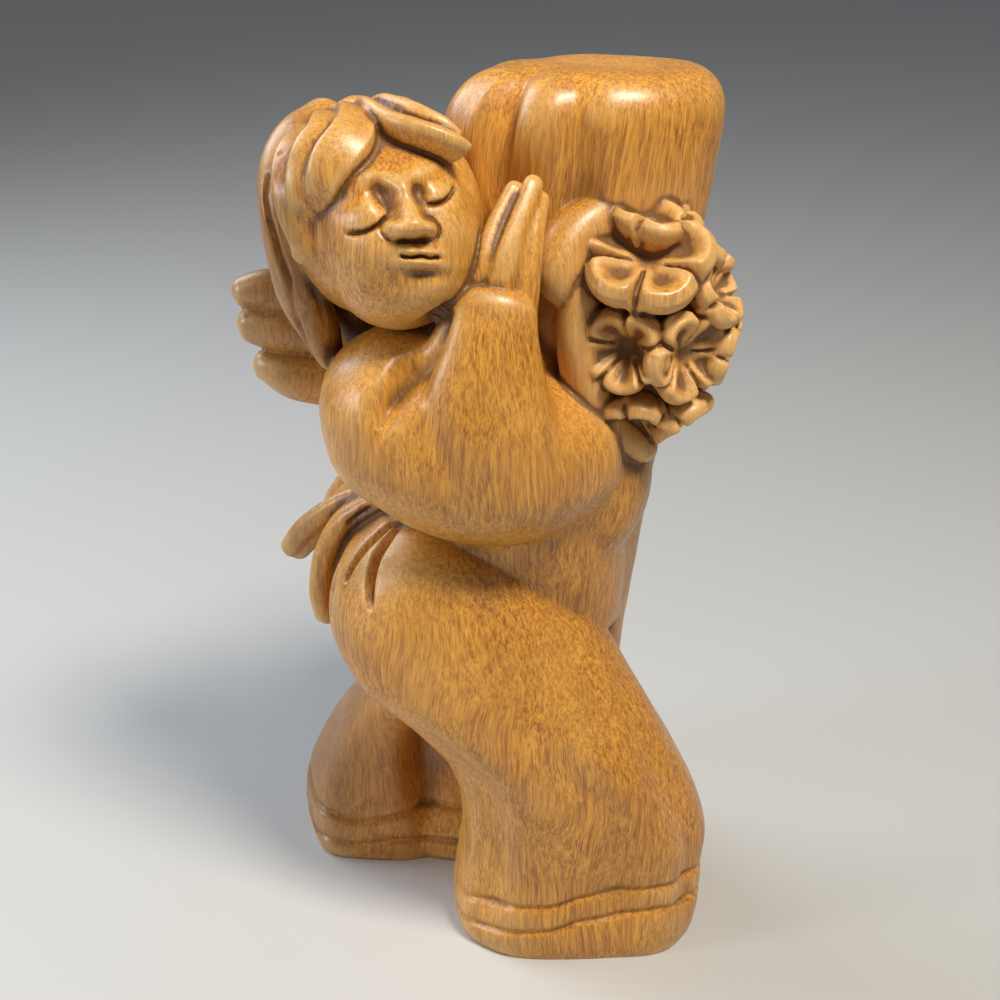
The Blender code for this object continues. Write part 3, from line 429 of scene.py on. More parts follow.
def column(shell):
    """The lobed column: widens upwards and ends in a flat top, rounder on the cherub's side."""
    around = 120
    angles = np.linspace(0, 2 * math.pi, around, endpoint=False)
    line = np.array(COLUMN_STATIONS, float)
    rim = COLUMN_RIM_RADIUS + COLUMN_LEFT_ROUNDING * smoothstep(-np.cos(angles), -0.2, 1.0)
    start = COLUMN_STATIONS[0][0]
    rings = []

    def ring(z, inset):
        x, y, a, b = (np.interp(z, line[:, 0], line[:, k]) for k in range(1, 5))
        radius = np.ones(around)
        for turn, half, depth, low in COLUMN_FLUTES:
            away = np.degrees(np.angle(np.exp(1j * (angles - math.radians(turn)))))
            strength = depth * smoothstep(z, low, low + 40)
            radius -= strength / a * np.exp(-((away / half) ** 2))
        a, b = a - inset, b - inset
        return np.stack([x + a * radius * np.cos(angles), y + b * radius * np.sin(angles), z], axis=1)

    for share in np.linspace(0, 1, 44):
        rings.append(ring(start + share * (COLUMN_TOP - rim - start), 0.0))
    for turn in np.radians([12, 24, 36, 48, 60, 72, 84]):
        rings.append(ring(COLUMN_TOP - rim * (1 - math.sin(turn)), rim * (1 - math.cos(turn)) * 0.9))
    rings.append(ring(np.full(around, COLUMN_TOP + 0.3), rim * 0.9 + 6))
    shell.loft(rings)


def torso_and_arms(shell):
    # The waist grows out of the column and leans towards the head.
    shell.stack(
        [
            (112, -26, 42, -6, 50, 2.1),
            (138, -32, 43, -12, 50, 2.1),
            (155, -38, 44, -16, 50, 2.1),
            (176, -44, 42, -18, 50, 2.1),
            (196, -47, 34, -17, 46, 2.1),
            (214, -44, 18, -13, 38, 2.0),
            (226, -36, 2, -7, 28, 2.0),
        ]
    )
    # The near arm: a full sleeve from the shoulder to the elbow, then up to the wrist.
    shell.ellipsoid((-30, -11, 200.5), (26, 25, 26))
    shell.tube(
        [(-30, -12, 194, 26, 24), (-14, -14, 187, 28, 25), (2, -13, 184, 28, 25), (16, -4, 183, 26, 23)],
        side=(0, 0, 1),
    )
    shell.ellipsoid((26, 8, 172), (24, 20, 34))
    shell.tube(
        [
            (0, -19, 182, 23, 21),
            (-5, -24, 197, 23, 18),
            (-6, -25, 213, 20.5, 15),
            (-4, -25, 227, 16.5, 11.5),
            (-1, -23.5, 238, 13, 9),
        ],
        ends=(1.0, 0.5),
    )
    # The far arm goes round the back of the column, and its hand lies flat on it.
    shell.tube(
        [
            (-22, 24, 206, 21, 21),
            (-10, 44, 194, 20, 19),
            (8, 60, 186, 18, 16),
            (28, 64, 192, 15, 12),
            (42, 60, 204, 11, 8),
            (50, 55, 213, 8, 5),
        ],
        side=(0, 0, 1),
    )


def hem_swell(z):
    """How far the two hem bands stand out of the gown at a height over the table."""
    return 1.2 * np.exp(-(((z - 13) / 14) ** 2))


def gown(shell):
    def near_folds(angles, z):
        hang = smoothstep(z, 6, 22) * (1 - smoothstep(z, 70, 108))
        turns = np.degrees(angles)
        folds = np.zeros_like(turns)
        for turn, half, depth in NEAR_FOLDS:
            away = (turns - turn + 180) % 360 - 180
            folds += depth * np.exp(-((away / half) ** 2))
        return hem_swell(z) - folds * (0.25 + 0.75 * hang) * (1 - smoothstep(z, 70, 120))

    # The near side falls from the hip to the wide hem.
    shell.stack(
        [
            (-FLOOR_ALLOWANCE, -12, 67, -25.5, 38, 3.2),
            (2.5, -15, 69.5, -28, 41, 3.2),
            (14, -15.5, 71, -29, 42, 3.1),
            (28, -14.5, 72, -30, 42, 2.8),
            (41, -13.5, 73, -32, 41, 2.6),
            (56, -14.5, 68.5, -34, 40, 2.4),
            (72, -20, 61, -35.5, 38, 2.25),
            (86, -32, 53, -35.5, 37, 2.2),
            (99, -48, 45, -34, 37, 2.1),
            (111, -55, 38, -32, 38, 2.1),
            (123, -57.5, 29, -30, 38, 2.1),
            (135, -55.5, 18, -27, 37, 2.1),
            (147, -49, 6, -22, 34, 2.1),
            (157, -38, -8, -13, 27, 2.0),
        ],
        around=128,
        levels=70,
        ripple=near_folds,
    )

    def far_folds(angles, z):
        return hem_swell(z) + 0.8 * np.cos(6 * angles + 1.0) * (1 - smoothstep(z, 40, 75))

    # The far side sweeps back to the left.
    shell.stack(
        [
            (-FLOOR_ALLOWANCE, -71, -18, 31, 85, 2.6),
            (2.5, -74, -18, 29, 87, 2.6),
            (14, -75, -20, 30, 86, 2.5),
            (28, -73, -25, 32, 84, 2.4),
            (45, -66, -28, 32, 79, 2.2),
            (60, -58, -26, 29, 73, 2.1),
            (76, -47, -18, 24, 66, 2.1),
            (94, -41, -8, 18, 58, 2.1),
            (118, -38, 4, 12, 50, 2.1),
        ],
        around=96,
        levels=48,
        ripple=far_folds,
    )

    # The cloth between the legs stands back, and comes forward again at the hem.
    shell.stack(
        [
            (-FLOOR_ALLOWANCE, -40, 40, 29, 78, 3.0),
            (10, -40, 40, 29, 78, 3.0),
            (22, -38, 40, 36, 76, 2.8),
            (40, -36, 40, 40, 72, 2.6),
            (64, -32, 38, 37, 66, 2.4),
            (90, -28, 34, 28, 58, 2.2),
            (116, -24, 30, 18, 50, 2.1),
        ],
        ripple=lambda angles, z: hem_swell(z),
    )


def head_frame():
    """The head's middle and its right, up and forward directions."""
    forward = Vector((0.28, -0.92, 0.27)).normalized()
    up = Vector((-0.29, 0.0, 0.95))
    up = (up - forward * up.dot(forward)).normalized()
    right = forward.cross(up)
    return vector(-31, -12, 256), np.array(right), np.array(up), np.array(forward)


def bump(u, w, at_u, at_w, wide, tall, power=2.0):
    return np.exp(-(np.abs((u - at_u) / wide) ** power) - np.abs((w - at_w) / tall) ** power)


def lid_line(u):
    """Height of the closed lids' line at u across the face: it sags towards the cheek."""
    return np.where(u > 0, 4.1 + 1.5 * ((u - 12.3) / 5.6) ** 2, 4.0 + 1.8 * ((u + 10.4) / 5.4) ** 2)


def mouth_place(u, w):
    """Position from the mouth's middle: its line is level though the head leans."""
    return u - 1.5, w + 7.9 - 0.42 * (u - 1.5)


def nose_place(u, w):
    """Position from the tip of the nose, whose base is level though the head leans."""
    return u - 1.0 + 0.19 * (w - 1.2), w - 1.0 - 0.34 * (u - 1.0)


def face_relief(u, w):
    """How far the face stands out of the plain head, at u across and w up from its middle."""
    relief = np.zeros_like(u)
    # Brows: one arc over each lid that runs into the bridge of the nose.
    brow = np.interp(u, [-20, -12, -5, 0, 3, 8, 14, 20], [12.5, 14.0, 13.6, 13.4, 16.0, 18.4, 18.0, 16.0])
    relief += 1.5 * np.exp(-(((w - brow) / 3.4) ** 2)) * np.exp(-((u / 17) ** 4))
    # Hollows beside the bridge, the wide lids and the full cheeks.
    relief -= 3.8 * bump(u, w, 4.6, 11.2, 3.0, 5.4)
    relief -= 2.4 * bump(u, w, -5.2, 8.4, 2.4, 3.2)
    relief -= 0.7 * bump(u, w, 13.5, 13.6, 6.5, 3.0)
    relief -= 0.5 * bump(u, w, -14.0, 10.0, 6.0, 2.6)
    relief += 1.2 * bump(u, w, 12.0, 8.2, 7.0, 4.2)
    relief += 1.0 * bump(u, w, -11.5, 7.2, 6.0, 3.4)
    slit = np.exp(-(((w - lid_line(u)) / 1.1) ** 2))
    relief -= 1.1 * slit * np.exp(-(((np.abs(u + 0.4) - 11.4) / 5.6) ** 4))
    relief += 2.1 * bump(u, w, 12.5, -3.5, 8.5, 7.0)
    relief += 1.9 * bump(u, w, -11.5, -4.5, 7.5, 7.5)
    # Nose: a ridge that widens to a broad tip with full wings over a flat base.
    across, over = nose_place(u, w)
    height = np.interp(
        over,
        [-4.2, -3.3, -1.5, 0.5, 2.5, 5.0, 8.0, 11.0, 14.0, 17.0],
        [0, 4.6, 7.6, 8.2, 6.8, 4.8, 3.4, 2.6, 1.2, 0],
    )
    width = np.interp(over, [-4.0, 0.0, 3.0, 6.0, 10.0, 14.0], [4.3, 4.4, 3.6, 3.0, 3.0, 3.8])
    relief += height * np.exp(-(np.abs(across / width) ** 2.6))
    relief += 4.2 * bump(across, over, -5.0, -1.1, 2.3, 2.3, 2.6)
    relief += 3.4 * bump(across, over, 4.7, -1.0, 2.2, 2.3, 2.6)
    # Mouth: small lips on a full muzzle, and a round chin.
    across, over = mouth_place(u, w)
    relief += 2.4 * bump(across, over, 0, -0.5, 8.5, 5.5)
    relief += 1.5 * bump(np.abs(across), over, 2.0, 1.5 - 0.12 * np.abs(across), 2.9, 1.15)
    relief += 1.6 * bump(across, over, 0, -2.1, 3.6, 1.3)
    relief -= 1.9 * bump(across, over, 0, -0.1, 5.0, 0.7, 2.4)
    relief -= 1.5 * bump(across, over, 0, -5.2, 5.5, 1.9)
    relief += 2.4 * bump(u, w, 2.0, -19.5, 9.0, 6.0)
    return relief


def head(shell):
    centre, right, up, forward = head_frame()
    around = 120 * FORM_SIDES
    angles = np.linspace(0, 2 * math.pi, around, endpoint=False)
    turned = np.sign(np.cos(angles)) * np.abs(np.cos(angles)) ** 0.86
    raised = np.sign(np.sin(angles)) * np.abs(np.sin(angles)) ** 0.86
    rings = []
    for latitude in np.linspace(-math.pi / 2, math.pi / 2, 110 * FORM_SIDES)[1:-1]:
        share = abs(math.cos(latitude)) ** 0.9
        u = 24.0 * turned * share
        w = 29.0 * raised * share
        depth = 25.0 * math.copysign(abs(math.sin(latitude)) ** 0.95, latitude)
        f = np.full(around, depth)
        if latitude > 0:
            f = f + face_relief(u, w) * smoothstep(latitude, 0.15, 0.6)
        rings.append(centre + u[:, None] * right + w[:, None] * up + f[:, None] * forward)
    shell.loft(rings)


def leaf_lock(shell, stations, around=36, steps=40):
    """A lock like a leaf: it stands high along one edge and slopes down to the other."""
    centre, right, up, forward = head_frame()
    centre = centre - 7 * forward + 4 * up
    line = spline(stations, steps * FORM_SIDES)
    aside, over = np.radians(line[:, 0]), np.radians(line[:, 1])
    outward = (
        np.sin(aside)[:, None] * right
        + (np.cos(aside) * np.sin(over))[:, None] * up
        + (np.cos(aside) * np.cos(over))[:, None] * forward
    )
    spine = centre + line[:, 2:3] * outward
    along = np.gradient(spine, axis=0)
    wide = np.cross(along, outward)
    wide /= np.linalg.norm(wide, axis=1)[:, None]
    angles = np.linspace(0, 2 * math.pi, around * FORM_SIDES, endpoint=False)
    share = (1 - np.cos(angles)) / 2
    crest = np.where(
        share < LEAF_CREST,
        np.sin(math.pi / 2 * np.minimum(share / LEAF_CREST, 1)) ** 0.7,
        np.cos(math.pi / 2 * np.clip((share - LEAF_CREST) / (1 - LEAF_CREST), 0, 1)) ** 0.9,
    )
    lift = np.where(np.sin(angles) >= 0, LEAF_RISE * crest, -LEAF_SINK * np.abs(np.sin(angles)) ** 0.6)
    lift = lift - LEAF_SLOPE * share
    rings = []
    for k in range(len(spine)):
        thin = min(1.0, line[k, 3] / 3.5)
        across = np.outer(np.cos(angles) * line[k, 3], wide[k])
        rings.append(spine[k] + across + np.outer(lift * thin, outward[k]))
    shell.loft(rings)


def hair(shell):
    # The cap of hair behind the face.
    centre, _, up, forward = head_frame()
    shell.ellipsoid(centre - 7 * forward + 4 * up, (29.5, 26, 31), (14, -16, 0))
    shell.tube(
        [(-36, 6, 262, 24, 18), (-38, 12, 236, 21, 15), (-37, 18, 212, 16, 11), (-35, 22, 194, 9, 7)]
    )
    for lock in LEAF_LOCKS:
        leaf_lock(shell, lock)
    for strand in HAIR_STRANDS:
        shell.tube(strand, side=(1, 0, 0), ends=(0.9, 0.9), around=24)


def finger_section(angles, share):
    """A finger's section: flattened, with a knife ridge towards the thumb's side."""
    ridge = np.exp(-(((np.angle(np.exp(1j * (angles - 3.9)))) / 0.45) ** 2))
    return 0.92 + 0.22 * ridge


def hand(shell):
    for finger in FINGERS:
        shell.tube(finger, ends=(0.8, 0.9), around=30, section=finger_section)


def feather_section(angles, share):
    """A feather's section: a flat oval with a crisp lower edge."""
    away = np.angle(np.exp(1j * (angles - math.pi)))
    return 0.94 + 0.20 * np.exp(-((away / 0.4) ** 2))


def wings(shell):
    for feather in NEAR_WING + FAR_WING:
        shell.tube(feather, side=(0, 0, 1), ends=(0.6, 0.9), around=32, section=feather_section)


def bow(shell):
    def ribbon_section(angles, share):
        """A ribbon folded over at its outer rim, with a hollow along its face."""
        away = np.angle(np.exp(1j * (angles - math.radians(55))))
        return 1.0 - 0.42 * smoothstep(share, 0.0, 0.3) * np.exp(-((away / 0.55) ** 2))

    for lobe in BOW_LOBES:
        shell.tube(lobe, side=(0.66, 0, -0.72), ends=(0.7, 0.9), around=36, section=ribbon_section)


def flower(shell, centre, axis, radius, turn, cup):
    """A bowl of five cupped petals, with a skirt that runs into the mound."""
    axis = np.asarray(axis, float)
    axis /= np.linalg.norm(axis)
    wide = np.cross(axis, (0, 0, 1))
    wide /= np.linalg.norm(wide)
    deep = np.cross(axis, wide)
    count = 80 * FORM_SIDES
    angles = np.linspace(0, 2 * math.pi, count, endpoint=False)
    petal = np.abs(np.cos(2.5 * (angles - turn)))
    rim = radius * (0.80 + 0.22 * petal**0.6)
    rings = []
    for share in (0.04, 0.12, 0.2, 0.3, 0.4, 0.5, 0.6, 0.69, 0.77, 0.84, 0.9, 0.95, 0.98, 1.0):
        bowl = -0.22 + 0.36 * smoothstep(share, 0.0, 0.8) - 0.16 * smoothstep(share, 0.84, 1.0) ** 2
        cupped = -0.15 * petal**1.5 * np.exp(-(((share - 0.56) / 0.24) ** 2))
        cleft = -0.24 * (1 - smoothstep(petal, 0.02, 0.40)) * smoothstep(share, 0.04, 0.4)
        rings.append((rim * share, radius * (cup * bowl + cupped + cleft)))
    for share, drop in ((1.0, 0.12), (0.95, 0.28), (0.8, 0.45), (0.62, 0.7)):
        notch = 0.34 * (1 - smoothstep(petal, 0.02, 0.42)) * (1 - drop)
        rings.append((rim * share, -radius * (drop + notch)))
    shell.loft(
        [
            np.asarray(centre, float)
            + (np.cos(angles) * reach)[:, None] * wide
            + (np.sin(angles) * reach)[:, None] * deep
            + (rise * np.ones(count))[:, None] * axis
            for reach, rise in rings
        ][::-1]
    )


def bouquet(shell):
    shell.ellipsoid(BOUQUET_MIDDLE, BOUQUET_CORE)
    # The smooth collar that wraps the bunch.
    shell.tube(COLLAR, side=(0, 1, 0), ends=(0.9, 0.9), steps=40)
    shell.tube(WRAP, side=(1, 0, 0), ends=(0.9, 0.9), steps=40)
    for turn, lift, facing, radius, spin, cup in FLOWERS:
        turn, lift, facing = math.radians(turn), math.radians(lift), math.radians(facing)
        level = vector(math.cos(turn), math.sin(turn), 0)
        towards = level * math.cos(lift) + vector(0, 0, math.sin(lift))
        centre = np.array(BOUQUET_MIDDLE) + towards / np.linalg.norm(towards / np.array(BOUQUET_RADII))
        axis = level * math.cos(facing) + vector(0, 0, math.sin(facing))
        flower(shell, centre, axis, radius, spin, cup)


def carve_forms():
    """Every form of the figurine, fused into one skin."""
    upper = Shell()
    column(upper)
    torso_and_arms(upper)
    lower = Shell()
    gown(lower)
    whole = Shell()
    whole.add_mesh(fused(upper, SOFT_VOXEL, SOFT_BLEND))
    whole.add_mesh(fused(lower, SOFT_VOXEL, SOFT_BLEND))
    for form in (head, hair, hand, wings, bow, bouquet):
        form(whole)
    return fused(whole, CRISP_VOXEL, CRISP_BLEND)


def distance_to_line(points, line):
    """Distance of every point to a row of straight pieces, and the share of its length there."""
    line = np.asarray(line, float)
    lengths = np.linalg.norm(np.diff(line, axis=0), axis=1)
    travelled = np.concatenate([[0], np.cumsum(lengths)])
    nearest = np.full(len(points), np.inf)
    share = np.zeros(len(points))
    for k in range(len(line) - 1):
        step = line[k + 1] - line[k]
        t = np.clip((points - line[k]) @ step / (step @ step), 0, 1)
        away = np.linalg.norm(points - line[k] - t[:, None] * step, axis=1)
        closer = away < nearest
        nearest[closer] = away[closer]
        share[closer] = (travelled[k] + t[closer] * lengths[k]) / travelled[-1]
    return nearest, share


def hem_cut(points):
    """Depth of the hem lines at each point of the gown."""
    near_angle = np.degrees(
        np.arctan2(points[:, 1] - NEAR_HEM_MIDDLE[1], points[:, 0] - NEAR_HEM_MIDDLE[0])
    )
    far_angle = np.degrees(np.arctan2(points[:, 1] - FAR_HEM_MIDDLE[1], points[:, 0] - FAR_HEM_MIDDLE[0]))
    # The near side of the gown lies right of and before a slanting line.
    is_near = (points[:, 0] > -18) & (points[:, 1] < 0.25 * (points[:, 0] + 18) + 26)
    depth = np.zeros(len(points))
    for near_line, far_line in ((NEAR_HEM_UPPER, FAR_HEM_UPPER), (NEAR_HEM_LOWER, FAR_HEM_LOWER)):
        near_height = np.interp(near_angle, NEAR_HEM_ANGLES, near_line)
        far_height = np.interp(far_angle, FAR_HEM_ANGLES, far_line)
        away = points[:, 2] - np.where(is_near, near_height, far_height)
        depth += HEM_GROOVE_DEPTH / UNIT * np.exp(-((away / (HEM_GROOVE_WIDTH / UNIT)) ** 2))
    return depth * (points[:, 2] > 1.5)


def carved(mesh):
    """Cuts the incised lines into the skin of the figurine."""
    points = vertex_array(mesh, "co")
    normals = vertex_array(mesh, "normal")
    depth = np.where(points[:, 2] < 45, hem_cut(points), 0.0)
    for line, width, deep, power in CUTS:
        away, share = distance_to_line(points, line)
        taper = 0.25 + 0.75 * np.sin(np.pi * np.clip(share, 0, 1)) ** 0.6
        depth += deep * taper * np.exp(-((away / (width * (0.4 + 0.6 * taper))) ** power))
    points = points - normals * depth[:, None]
    mesh.vertices.foreach_set("co", points.ravel())
    mesh.update()
    return mesh


def face_cut(u, w):
    """Depth of the face's incised lines, at u across and w up from its middle."""
    depth = np.zeros_like(u)
    # Crescent cuts of the closed lids, widest in their middle.
    reach = np.abs(u - np.where(u > 0, 11.7, -11.2)) / np.where(u > 0, 5.9, 5.2)
    on_lid = np.clip(1 - reach**2, 0, 1) ** 0.6
    away = w - lid_line(u) + 0.25
    depth += 1.7 * on_lid * np.exp(-((away / np.where(away > 0, 0.42, 0.65)) ** 4))
    depth -= 0.5 * on_lid * np.exp(-(((away - 1.2) / 0.7) ** 2))
    # The line between the lips, wider at its corners.
    across, over = mouth_place(u, w)
    line = -0.25 + 0.35 * np.cos(across * 1.25)
    on_lips = np.clip(1 - (across / 5.3) ** 2, 0, 1) ** 0.5
    depth += 1.3 * on_lips * np.exp(-(((over - line) / 0.5) ** 4))
    depth += 0.9 * bump(np.abs(across), over, 4.6, -0.2, 1.0, 0.9)
    depth += 0.5 * bump(across, over, 0, 3.6, 0.8, 1.2)
    # Nostrils, and the creases round the wings of the nose.
    across, over = nose_place(u, w)
    depth += 1.6 * bump(across, over, 0, -4.3, 4.6, 1.0, 3.0)
    depth += 1.2 * bump(np.abs(across), over, 2.9, -3.6, 1.3, 0.9)
    ring = np.hypot(np.abs(across) - 5.2, (over + 1.2) * 0.95)
    on_ring = smoothstep(np.abs(across), 4.6, 6.4) * (over > -4.2)
    depth += 0.9 * np.exp(-(((ring - 3.2) / 0.5) ** 2)) * on_ring
    depth += 0.6 * np.exp(-(((across + 8.2 + 0.25 * over) / 0.6) ** 2) - ((over + 4.2) / 3.0) ** 2)
    return depth


def hand_tooling(points):
    """Slight unevenness of a surface shaped by hand, as a depth."""
    x, y, z = points.T
    waves = np.sin(0.31 * x + 1.1 * np.sin(0.13 * z)) * np.sin(0.27 * y + 0.9 * np.sin(0.11 * x))
    waves += 0.7 * np.sin(0.19 * z + 0.21 * x + 1.7) * np.sin(0.23 * y - 0.12 * z)
    return 0.16 * waves


def finely_carved(mesh):
    """Adds the face's lines and the hand's unevenness."""
    points = vertex_array(mesh, "co")
    normals = vertex_array(mesh, "normal")
    centre, right, up, forward = head_frame()
    local = points - centre
    u, w, f = local @ right, local @ up, local @ forward
    on_face = (f > 12) & (np.hypot(u, w) < 26) & (normals @ forward > -0.2)
    cut = np.where(on_face, face_cut(u, w), 0.0)
    points = points - cut[:, None] * forward
    points = points - hand_tooling(points)[:, None] * normals * (points[:, 2] > 3)[:, None]
    mesh.vertices.foreach_set("co", points.ravel())
    mesh.update()
    return mesh


def spared_from_thinning(points):
    """Which points lie on the face or on the flowers that are seen."""
    centre, _, _, forward = head_frame()
    from_middle = points - centre
    on_face = (from_middle @ forward > FACE_FORWARD) & (np.linalg.norm(from_middle, axis=1) < FACE_REACH)
    near_flowers = np.linalg.norm((points - np.array(BOUQUET_MIDDLE)) / BOUQUET_ROOM, axis=1) < 1
    return on_face | (near_flowers & (points[:, 1] < BOUQUET_BACK))


def outer_skin(shape):
    """Leaves only the largest connected body of a bmesh."""
    shape.verts.ensure_lookup_table()
    owner = np.full(len(shape.verts), -1)
    bodies = []
    for vert in shape.verts:
        if owner[vert.index] >= 0:
            continue
        owner[vert.index] = len(bodies)
        found, queue = [vert], [vert]
        while queue:
            for edge in queue.pop().link_edges:
                for other in edge.verts:
                    if owner[other.index] < 0:
                        owner[other.index] = len(bodies)
                        found.append(other)
                        queue.append(other)
        bodies.append(found)
    bodies.sort(key=len)
    loose = [vert for body in bodies[:-1] for vert in body]
    bmesh.ops.delete(shape, geom=loose, context="VERTS")


def finish_piece(mesh):
    """Thins the skin, keeps its largest body and cuts its underside flat."""

    def thin(stack):
        collapse = stack.new("thin", "DECIMATE")
        collapse.ratio = TRIANGLES / (2 * len(mesh.polygons))
        collapse.vertex_group = "thinned"
        collapse.vertex_group_factor = SPARED_FACTOR

    mesh = evaluated(mesh, thin, spared_from_thinning(vertex_array(mesh, "co")))
    shape = bmesh.new()
    shape.from_mesh(mesh)
    outer_skin(shape)
    geometry = shape.verts[:] + shape.edges[:] + shape.faces[:]
    bmesh.ops.bisect_plane(shape, geom=geometry, plane_co=(0, 0, 0), plane_no=(0, 0, 1), clear_inner=True)
    bmesh.ops.holes_fill(shape, edges=[e for e in shape.edges if e.is_boundary])
    bmesh.ops.triangulate(shape, faces=shape.faces)
    bmesh.ops.recalc_face_normals(shape, faces=shape.faces)
    shape.to_mesh(mesh)
    shape.free()
    return mesh


def neighbour_mean(values, edges, degree):
    """Mean of the values of each vertex's neighbours, where degree is how many it has."""
    total = np.zeros_like(values)
    for k in range(values.shape[1]):
        total[:, k] = np.bincount(edges[:, 0], values[edges[:, 1], k], len(values))
        total[:, k] += np.bincount(edges[:, 1], values[edges[:, 0], k], len(values))
    return total / degree[:, None]


def shade_attributes(mesh):
    """Stores, per vertex, hollowness for painted crease shade and edge highlight, darkening and rawness.
    """
    points = vertex_array(mesh, "co")
    normals = vertex_array(mesh, "normal")
    edges = np.empty(len(mesh.edges) * 2, int)
    mesh.edges.foreach_get("vertices", edges)
    edges = edges.reshape(-1, 2)
    degree = np.bincount(edges.ravel(), minlength=len(points)).astype(float)
    # How hollow the skin is, whatever the size of its triangles.
    lengths = np.linalg.norm(points[edges[:, 0]] - points[edges[:, 1]], axis=1)
    ends = edges.ravel()
    spacing = np.bincount(ends, np.repeat(lengths, 2), len(points)) / degree
    hollow = np.einsum("ij,ij->i", neighbour_mean(points, edges, degree) - points, normals)
    hollow = (hollow / spacing**2)[:, None]
    for _ in range(HOLLOW_ROUNDS):
        hollow = neighbour_mean(hollow, edges, degree)
    hollow = hollow[:, 0]
    x, y, z = points.T
    dark = np.zeros(len(points))
    # The far side of the gown, the long hair, the wings and the bow are coloured darker.
    dark = np.maximum(dark, 0.8 * smoothstep(y - 0.35 * x, 40, 62) * (1 - smoothstep(z, 70, 110)))
    dark = np.maximum(dark, 0.55 * smoothstep(-x, 50, 62) * smoothstep(z, 195, 215))
    dark = np.maximum(dark, 0.5 * smoothstep(-x, 58, 70) * smoothstep(z, 100, 120))
    raw = np.linalg.norm((points - np.array(BOUQUET_MIDDLE)) / RAW_ROOM, axis=1)
    raw = (1 - smoothstep(raw, 0.9, 1.1)) * (1 - smoothstep(y, 8, 16))
    values = np.ones((len(points), 4))
    # Hollowness, for painted shade in creases and a painted highlight on edges.
    values[:, 0] = np.clip(0.5 + hollow * HOLLOW_GAIN, 0, 1)
    values[:, 1] = dark
    values[:, 2] = raw
    layer = mesh.color_attributes.new("carving", "FLOAT_COLOR", "POINT")
    layer.data.foreach_set("color", values.ravel())


# Colours of the wood: its two fibres, the bands and clouds in them, the darker far parts, the raw
# bouquet and pores, then painted shade in creases and a painted highlight on edges.
DARK_FIBRE = (0.30, 0.098, 0.009, 1)
PALE_FIBRE = (0.74, 0.34, 0.042, 1)
BAND_BROWN = (0.30, 0.105, 0.014, 1)
CLOUD_GOLD = (0.78, 0.42, 0.10, 1)
# Darker brown drawn on the far side of the gown, the long hair, the wings and the bow.
FAR_PARTS_DARK_BROWN = (0.11, 0.050, 0.028, 1)
RAW_WOOD = (0.66, 0.36, 0.12, 1)
PORE_BROWN = (0.075, 0.026, 0.008, 1)
# Painted shade in creases.
CREASE_PAINTED_SHADE = (0.06, 0.020, 0.006, 1)
# Painted highlight on convex edges.
EDGE_PAINTED_HIGHLIGHT = (0.80, 0.54, 0.22, 1)

FLOOR_COLOUR = (0.54, 0.535, 0.52, 1)
FLOOR_RADIUS = 3.0


class NodeTree:
    """Short ways to add nodes to one material."""

    def __init__(self, material):
        material.use_nodes = True
        self.nodes = material.node_tree.nodes
        self.links = material.node_tree.links
        self.shader = self.nodes["Principled BSDF"]

    def feed(self, sockets, **values):
        """Links or sets the named sockets, whose names have underscores for their spaces."""
        for name, value in values.items():
            self.put(sockets[name.replace("_", " ")], value)

    def put(self, socket, value):
        """Links another node's output to the socket, or sets a plain value on it."""
        if isinstance(value, bpy.types.NodeSocket):
            self.links.new(value, socket)
        else:
            socket.default_value = value

    def node(self, kind, **settings):
        made = self.nodes.new(kind)
        for name, value in settings.items():
            setattr(made, name, value)
        return made

    def math(self, operation, first, second, clamp=False):
        made = self.node("ShaderNodeMath", operation=operation, use_clamp=clamp)
        self.put(made.inputs[0], first)
        self.put(made.inputs[1], second)
        return made.outputs[0]

    def stretched(self, place, scale, along, offset=(0, 0, 0)):
        """Coordinates of a pattern that is drawn out along the fibres."""
        made = self.node("ShaderNodeMapping")
        self.feed(made.inputs, Vector=place, Scale=(scale, scale, scale * along), Location=offset)
        return made.outputs[0]

    def noise(self, place, detail, rough, distortion=0.0, scale=1.0):
        made = self.node("ShaderNodeTexNoise")
        self.feed(made.inputs, Vector=place, Scale=scale, Detail=detail, Roughness=rough)
        self.feed(made.inputs, Distortion=distortion)
        return made

    def levels(self, value, low, high):
        """Spreads the values from low to high over 0 to 1."""
        made = self.node("ShaderNodeMapRange")
        self.feed(made.inputs, Value=value, From_Min=low, From_Max=high)
        return made.outputs[0]

    def blend(self, factor, first, second):
        made = self.node("ShaderNodeMix", data_type="RGBA", blend_type="MIX")
        for index, value in ((0, factor), (6, first), (7, second)):
            self.put(made.inputs[index], value)
        return made.outputs[2]


def fibre_place(tree):
    """Position on the piece, shifted a little so that the fibres wander."""
    place = tree.node("ShaderNodeTexCoord").outputs["Object"]
    wander = tree.noise(place, 1.5, 0.5, scale=22.0)
    shift = tree.node("ShaderNodeVectorMath", operation="MULTIPLY_ADD")
    for index, value in enumerate((wander.outputs["Color"], (0.012, 0.012, 0.0), place)):
        tree.put(shift.inputs[index], value)
    return shift.outputs[0]


